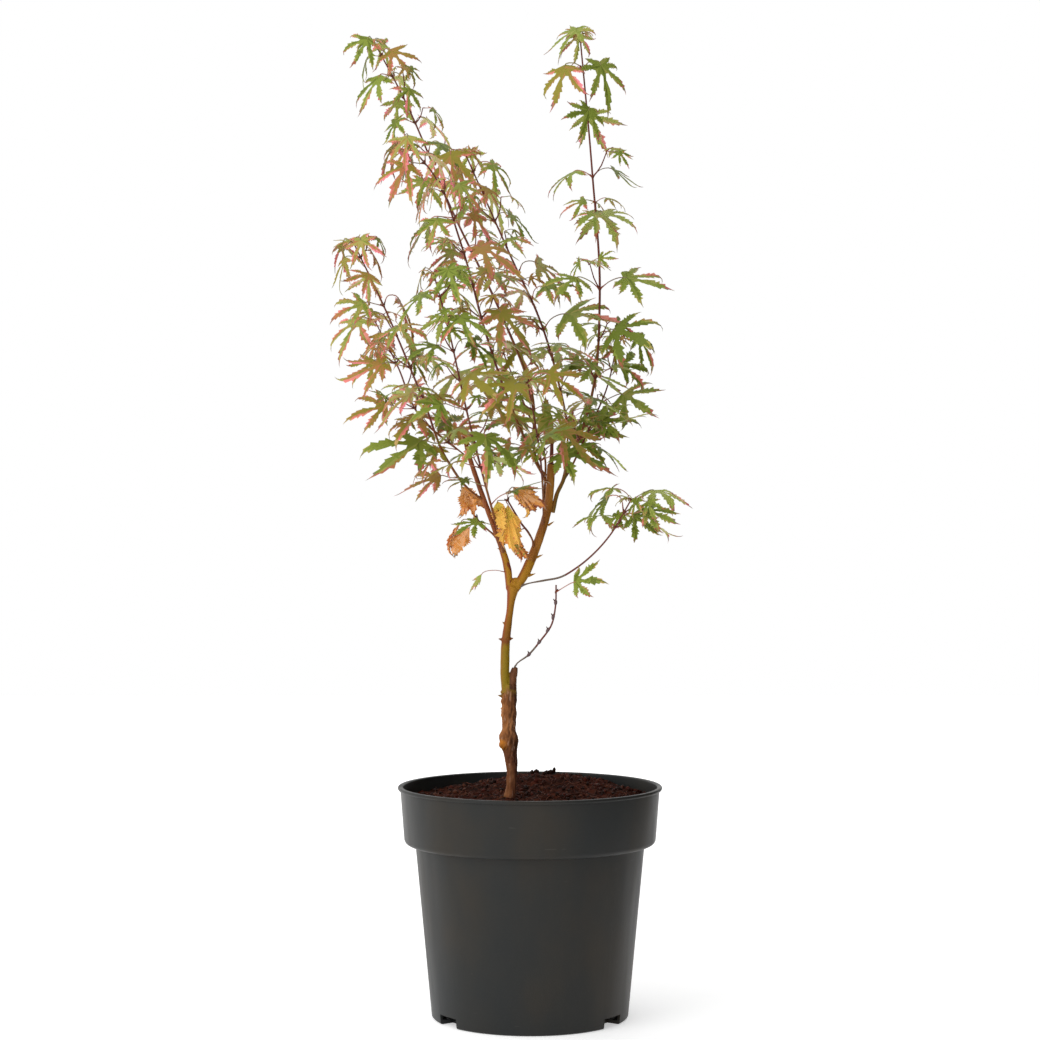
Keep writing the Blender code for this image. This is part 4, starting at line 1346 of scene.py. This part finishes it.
def fine_leaf(leaf, lobes, habits, width, face_shade, rng):
    """Points, faces and shades of one thin leaf: a top and an underside share its outline."""
    half = FINE_THICKNESS / 2
    points = []
    faces = []
    shades = []

    def add(place):
        points.append(place)
        return len(points) - 1

    middle = [add(leaf["base"] + s * half * leaf["normal"]) for s in LAYERS]
    turns = [turn for turn, _ in lobes]
    notches = [(math.pi, FOOT_NOTCH)]
    notches += [((a + b) / 2, NOTCH_DEPTH) for a, b in zip(turns, turns[1:])]
    gaps = []
    for turn, reach in notches:
        spots = [(reach, turn, 0)] + [(reach * INNER_BAND, turn, s * half) for s in LAYERS]
        gaps.append([add(blade_point(leaf, *spot)) for spot in spots])
    gaps.append(gaps[0])
    for i, ((turn, length), habit) in enumerate(zip(lobes, habits)):
        widest = width * (LEAST_WIDTH + (1 - LEAST_WIDTH) * length) * leaf["size"]
        shares, edges = lobe_edges(min(NOTCH_DEPTH / length + NOTCH_MARGIN, 0.5), rng)
        spine = lobe_spine(leaf, turn, length, habit, [*shares, 1.0])
        ribs = [[point] for point in middle]
        for place, _, up in spine[:-1]:
            for rib, s in zip(ribs, LAYERS):
                rib.append(add(place + s * half * up))
        tip = add(spine[-1][0])
        for gap, s_side, edge in ((gaps[i], -1, edges[0]), (gaps[i + 1], 1, edges[1])):
            rims, *bands = [[point] for point in gap]
            for (place, across, up), (ahead, _, _), (spread, lean) in zip(spine, spine[1:], edge):
                out = max(widest * spread, TAIL_WIDTH)
                rim = place.lerp(ahead, lean) + s_side * out * across
                rims.append(add(rim + habit["fold"] * out * MARGIN_DROP * up))
                inner = out * INNER_BAND
                for band, s in zip(bands, LAYERS):
                    lift = habit["fold"] * inner + s * half
                    band.append(add(place + s_side * inner * across + lift * up))
            for layer in (0, 1):
                columns = (ribs[layer], bands[layer], rims)
                for band, (near, far) in enumerate(zip(columns, columns[1:])):
                    for j, share in enumerate([*shares, shares[-1]]):
                        onward = (far[j + 1], near[j + 1]) if j < len(shares) else (tip,)
                        face = (near[j], far[j], *onward)
                        flip = (s_side > 0) == (layer == 0)
                        faces.append(tuple(reversed(face)) if flip else face)
                        shades.append(face_shade(i, s_side > 0, share if j else 0.0, band, layer))
    return points, faces, shades


def leaf_look(shoot, leaf, rng):
    """A leaf's lobes, how each hangs, and the rule that deals out its shades."""
    autumn = shoot.get("autumn")
    pairs = list(zip(LOBE_ANGLES, LOBE_LENGTHS))
    if rng.random() < FOOT_LOBE_CHANCE:
        pairs = [(-FOOT_LOBE_ANGLE, FOOT_LOBE_LENGTH), *pairs, (FOOT_LOBE_ANGLE, FOOT_LOBE_LENGTH)]
    lobes = []
    squeeze = shoot.get("squeeze", AUTUMN_SQUEEZE if autumn else 1)
    for angle, length in pairs:
        swing = rng.uniform(-LOBE_SWING, LOBE_SWING)
        lobes.append((math.radians(angle) * squeeze + swing, length * rng.uniform(*LOBE_STRETCH)))
    ranges = WITHERED_HABIT if autumn else LOBE_HABIT
    sag = rng.uniform(*ranges["sag"]) * (LEAST_SAG + (1 - LEAST_SAG) * leaf["share"])
    habits = []
    for _ in lobes:
        habit = {name: rng.uniform(*span) for name, span in ranges.items()}
        habits.append({**habit, "sag": sag})
    width = FINE_HALF_WIDTH * (AUTUMN_WIDTH if autumn else 1 - WIDTH_LOSS * leaf["share"])
    return lobes, habits, width * shoot.get("wide", 1), shade_rule(shoot, leaf, len(lobes), rng)


def shade_rule(shoot, leaf, lobe_count, rng):
    """Deals out shades by half lobes: green inside, pinker at the margin and beyond a point."""
    autumn = shoot.get("autumn")
    tint = between(shoot["tint"], leaf["share"]) + rng.gauss(0, TINT_SPREAD)
    bright = rng.gauss(0, GREEN_SPREAD)
    blush = []
    for _ in range(2 * lobe_count):
        strong = rng.random() < max(tint, 0) * BLUSH_CHANCE
        rise = rng.uniform(*BLUSH_RISE) if strong else 0.0
        margin = rng.uniform(0, MARGIN_BLUSH) * (LEAST_MARGIN + tint)
        blush.append((rng.uniform(*BLUSH_START), rise, margin, rng.gauss(0, LOBE_SPREAD)))
    tips = [rng.choice(TIP_SHADES) for _ in range(lobe_count)]
    upper = BRONZE_RAMP if rng.random() < shoot.get("bronze", BRONZE_CHANCE) else GREEN_RAMP

    def face_shade(lobe, right, share, band, layer):
        start, rise, margin, patch = blush[2 * lobe + right]
        reach = share + TIP_MARGIN * band + rng.uniform(-FACE_SPREAD, FACE_SPREAD)
        if share > 0.5 and reach > GREY_FROM:
            return "tip_grey"
        if share > 0.5 and reach > TIP_FROM and not autumn:
            return tips[lobe]
        if autumn:
            ramp = AUTUMN_RAMPS[autumn]
            value = tint + AUTUMN_RISE[0] * share + AUTUMN_RISE[1] * band
        else:
            ramp = UNDER_RAMP if layer else upper
            value = tint * TINT_SHARE + patch + margin * band * (LEAST_MARGIN + share)
            value += rise * min(max((reach - start) * BLUSH_SPEED, 0), 1)
            if value < GREEN_BELOW:
                value += bright
        value += rng.uniform(-FACE_SPREAD, FACE_SPREAD)
        place = round(value * (len(ramp) - 1))
        return ramp[max(0, min(place, len(ramp) - 1))]

    return face_shade


# Shoots.


def spindle(place, heading, radius, length, sides=8):
    """A short swelling round a stem, or a bud where it stands alone."""
    route = [place + heading * length * (share - 0.5) for share, _ in SPINDLE_PROFILE]
    return tube(route, [radius * girth for _, girth in SPINDLE_PROFILE], sides)


def shoot_twigs(shoot, shape):
    """The stem of a shoot with a ring and two buds at each pair of leaves."""
    pile = Pile()
    route, radii, facing, _ = shape
    limb_place = route[0] - facing * STEM_SUNK * MM
    slim = [radius * STEM_SHARE for radius in radii]
    wide = [radii[0] * STEM_FLARE, *slim]
    fine, girths = refined([limb_place, *route], wide, len(route) * FINE_STEPS)
    points, faces = tube(fine, girths, TWIG_SIDES)
    steps = len(fine) - 1
    lower, upper = shoot.get("bark", "stem_brown"), "stem_maroon"
    shades = []
    for ring in range(steps):
        shades += [lower if ring / steps < DARK_FROM else upper] * 2 * TWIG_SIDES
    pile.add(points, faces, shades + [lower, upper])
    for share in shoot.get("swellings", ()):
        place, heading = along(route, share)
        pile.add(*spindle(place, heading, *SWELLING), "bud_grey")
        way = (SPUR_WAY + heading).normalized()
        pile.add(*spindle(place + way * SPUR_OUT * MM, way, *SPUR), "bud_tip")
    for facing, share, place, heading in node_places(shoot, route):
        radius = between(radii, share) * STEM_SHARE
        pile.add(*spindle(place, heading, radius * NODE_GIRTH, NODE_LENGTH), "bud")
        for half in shoot.get("halves", BOTH_SIDES):
            turn = math.radians(facing + half)
            outward = squared(compass(turn), heading)
            bud_way = (outward * 0.5 + heading).normalized()
            bud_place = place + outward * radius + bud_way * BUD_OUT * MM
            pile.add(*spindle(bud_place, bud_way, *BUD), "bud_tip")
    return pile


def fine_stalk(leaf, rng):
    """A slim curved stalk with a swollen foot."""
    route = smooth_route([*leaf["stalk"], leaf["base"]], STALK_STEPS)
    shares = [i / STALK_STEPS for i in range(STALK_STEPS + 1)]
    stout = between((STALK_SHARE, 1), min(leaf["size"] / FULL_LEAF, 1))
    foot, loss, gain = STALK_GIRTH
    radii = [(foot - loss * min(share * 4, 1) + gain * share) * stout * MM for share in shares]
    points, faces = tube(route, radii, STALK_SIDES)
    upper = rng.choice(STALK_SHADES)
    rings = ["stalk_foot"] * 2 + [upper] * (STALK_STEPS - 2)
    shades = [shade for shade in rings for _ in range(2 * STALK_SIDES)] + ["stalk_foot", upper]
    return points, faces, shades


def small_leaf(shoot, kind, place, heading, share, turn, rng, blush=0.0):
    """A small leaf of one kind, and the shoot that it takes its looks from."""
    tint = [end + blush for end in shoot["tint"]]
    looks = {**shoot, **kind, "leaf": rng.uniform(*kind["leaf"]), "tint": tint}
    draw = leaf_draw(rng)
    turn = math.radians(turn + draw["turn"])
    return new_leaf(looks, place, heading, share, turn, draw), looks


def clear(leaf, others):
    points, blade, _ = leaf_shape(leaf)
    own = tree_of(points, blade)
    return not any(own.overlap(tree) for tree in others)


def side_twigs(shoot, route, others, rng):
    """Short twigs at a shoot's nodes, and the small leaves that they bear."""
    twigs = []
    leaves = []
    for facing, share, place, heading in node_places(shoot, route):
        for half in BOTH_SIDES:
            if share == LAST_SHARE or rng.random() > SIDE_CHANCE:
                continue
            turn = facing + half + rng.uniform(-SIDE_TURN, SIDE_TURN)
            way = (compass(math.radians(turn)) + heading * SIDE_RISE).normalized()
            length = rng.uniform(*SIDE_LENGTH) * MM
            line = [place, place + way * length * 0.5, place + (way + heading * SIDE_BEND) * length]
            borne = []
            for side in SIDE_SPREAD:
                leaf, looks = small_leaf(shoot, SIDE_LEAF, line[-1], way, share, turn + side, rng)
                if clear(leaf, others):
                    borne.append((leaf, looks))
            if borne:
                twigs.append(smooth_route(line, SIDE_STEPS))
                leaves += borne
    return twigs, leaves


def fill_leaves(shoot, route, rng):
    """The few leaves that fill in low on a shoot."""
    leaves = []
    for share, turn, size, stalk, hang in shoot.get("fill", ()):
        kind = dict(leaf=(size, size), stalk=(stalk, stalk), hang=(hang, hang))
        leaves.append(small_leaf(shoot, kind, *along(route, share), share, turn, rng))
    return leaves


def tuft(shoot, route, rng):
    """Small young leaves that spread from a shoot's tip."""
    place, heading = along(route, LAST_SHARE)
    leaves = []
    for i in range(TUFT_LEAVES):
        turn = shoot["facing"] + TUFT_TURN + 360 * i / TUFT_LEAVES
        leaves.append(small_leaf(shoot, TUFT_LEAF, place, heading, 1.0, turn, rng, TUFT_TINT))
    return leaves


def make_foliage(shapes):
    """Each shoot's twigs, stalks and leaves, joined in three pieces."""
    stems = {name: tree_of(*tube(*s[:2], LIMB_SIDES, *s[2:])) for name, s in shapes.items()}
    made = []
    for shoot in SHOOTS:
        radii = [radius * MM for radius in shoot["radii"]]
        made.append(stem(shapes[shoot["limb"]], shoot["at"], shoot["route"], radii))
        stems[shoot["name"]] = tree_of(*tube(*made[-1][:2], SHOOT_SIDES, *made[-1][2:]))
    taken = []
    grown = [grow(shoot, shape[0], stems, taken) for shoot, shape in zip(SHOOTS, made)]
    for shoot, shape, own in zip(SHOOTS, made, grown):
        name = shoot["name"]
        rng = random.Random(shoot["seed"] * LOOKS_SEED)
        leaves = [(leaf, shoot) for leaf in own]
        for shades, *hung in shoot.get("hung", ()):
            leaves.append((hung_leaf(*hung), {**shoot, "autumn": shades, "squeeze": HUNG_SQUEEZE}))
        pile = shoot_twigs(shoot, shape)
        if len(shoot["nodes"]) > 2:
            others = [tree for other, tree in stems.items() if other != name]
            twigs, small = side_twigs(shoot, shape[0], [*others, *taken], rng)
            radii = [between(SIDE_RADII, i / SIDE_STEPS) for i in range(SIDE_STEPS + 1)]
            for twig in twigs:
                pile.add(*tube(twig, radii, STALK_SIDES), "stem_maroon")
            leaves += small + tuft(shoot, shape[0], rng) + fill_leaves(shoot, shape[0], rng)
        settle(pile.make(name + "_twigs", STEM_CREASE), "shoot", name)
        stalks = Pile()
        blades = Pile()
        for leaf, looks in leaves:
            stalks.add(*fine_stalk(leaf, rng))
            blades.add(*fine_leaf(leaf, *leaf_look(looks, leaf, rng), rng))
        settle(stalks.make(name + "_stalks", STEM_CREASE), "shoot", name)
        slot = "autumn_foliage" if "autumn" in shoot else "foliage"
        settle(blades.make(name + "_leaves", LEAF_CREASE), slot, name)


# Crumbs and fibres on the soil.


def crumb(place, radius, rng):
    """One lump of peat: a ball squeezed and dented at random."""
    squeeze = Vector([rng.uniform(*CRUMB_SQUEEZE) for _ in range(3)])
    shift = Vector([rng.uniform(*DENT_SHIFT) for _ in range(3)])
    points, faces = ball(1, 1)
    dented = []
    for point in points:
        dent = 1 + DENT_DEPTH * noise.noise(point * DENT_SCALE + shift)
        dented.append(place + Vector([c * s for c, s in zip(point, squeeze)]) * radius * dent)
    return dented, faces


def soil_spot(reach, rng):
    """A place on the soil, at most this far from its middle."""
    reach *= math.sqrt(rng.random())
    turn = rng.uniform(0, 2 * math.pi)
    return Vector((reach * math.cos(turn), reach * math.sin(turn), 0))


def make_crumbs():
    """Peat crumbs and clods on the soil, and the fibres among them."""
    rng = random.Random(SOIL_SEED)
    edge = wall_inside(SOIL_LEVEL) - GAP
    pile = Pile()
    for _ in range(CRUMBS):
        size = between(CRUMB_SIZES, rng.random() ** CRUMB_POWER)
        place = soil_spot(edge - size * CRUMB_CLEAR, rng)
        place.z = soil_height(place.x, place.y) + size * rng.uniform(*CRUMB_LIFT)
        shade = rng.choice(CRUMB_SHADES)
        pile.add(*crumb(place, size, rng), shade)
    for clod in CLODS:
        pile.add(*crumb(metres(clod), clod[3] * MM, rng), "peat_dark")
    for _ in range(FIBRES):
        place = soil_spot(edge - FIBRE_CLEAR, rng)
        way = rng.uniform(0, 2 * math.pi)
        route = []
        for step in range(FIBRE_POINTS):
            spot = place + compass(way) * step * FIBRE_STEP * MM
            spot.z = soil_height(spot.x, spot.y) + rng.uniform(*FIBRE_LIFT) * MM
            way += rng.uniform(-FIBRE_TURN, FIBRE_TURN)
            route.append(spot)
        shade = rng.choice(FIBRE_SHADES)
        radii = [rng.uniform(*FIBRE_RADIUS) * MM] * (FIBRE_STEPS + 1)
        pile.add(*tube(smooth_route(route, FIBRE_STEPS), radii, FIBRE_SIDES), shade)
    settle(pile.make("soil_crumbs", SOIL_CREASE), "soil")


# Stage.


def make_stage():
    """A plain pale floor, even light all round, one soft lamp and the cards."""
    ways = ((-1, -1), (1, -1), (1, 1), (-1, 1))
    corners = [(x * FLOOR_REACH, y * FLOOR_REACH, 0) for x, y in ways]
    sockets = {
        "Base Color": (FLOOR_GREY, FLOOR_GREY, FLOOR_GREY, 1),
        "Roughness": 0.8,
        "Emission Color": (1, 1, 1, 1),
        "Emission Strength": FLOOR_GLOW,
    }
    floor = add_object("floor", corners, [(0, 1, 2, 3)], Paint("floor", sockets).made)
    floor.location.z = -FLOOR_DROP
    floor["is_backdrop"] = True
    world = bpy.data.worlds.new("studio")
    world.use_nodes = True
    background = world.node_tree.nodes["Background"].inputs
    background["Color"].default_value = (1, 1, 1, 1)
    background["Strength"].default_value = SURROUND_LIGHT
    bpy.context.scene.world = world
    add_light("key", KEY_PLACE, KEY_SIZE, KEY_POWER)
    for i, card in enumerate(CARDS):
        make_card(f"card_{i}", *card)


def make_card(name, place, size, turn):
    """A dark upright card that only light meets."""
    wide, tall = size
    ends = (-wide / 2, wide / 2)
    corners = [(x, 0, -tall / 2) for x in ends] + [(x, 0, tall / 2) for x in reversed(ends)]
    finish = Paint(name, {"Base Color": (CARD_GREY, CARD_GREY, CARD_GREY, 1), "Roughness": 0.9}).made
    card = add_object(name, corners, [(0, 1, 2, 3)], finish)
    card.location = place
    card.rotation_euler.z = math.radians(turn)
    card.visible_camera = False
    card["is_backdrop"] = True


def add_light(name, place, size, power):
    """A soft square lamp that faces the middle of the plant."""
    lamp = bpy.data.lights.new(name, "AREA")
    lamp.energy = power
    lamp.size = size
    made = put(name, lamp)
    made.location = place
    aim = KEY_AIM - made.location
    made.rotation_euler = aim.to_track_quat("-Z", "Y").to_euler()


def make_camera():
    lens = bpy.data.cameras.new("camera")
    lens.lens = CAMERA_LENS
    lens.sensor_width = CAMERA_SENSOR
    made = put("camera", lens)
    made.location = CAMERA_PLACE
    made.rotation_euler = (math.radians(90), 0, 0)
    bpy.context.scene.camera = made
    bpy.context.scene.view_settings.view_transform = "Standard"


def write_sizes():
    boxes = {"cad": cad_box, "visual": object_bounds()}
    plain = {name: [list(corner) for corner in box] for name, box in boxes.items()}


def main():
    make_camera()
    make_stage()
    make_pot()
    make_soil()
    make_crumbs()
    shapes = limb_shapes()
    make_trunk(shapes)
    make_limbs(shapes)
    make_foliage(shapes)
    write_sizes()


main()
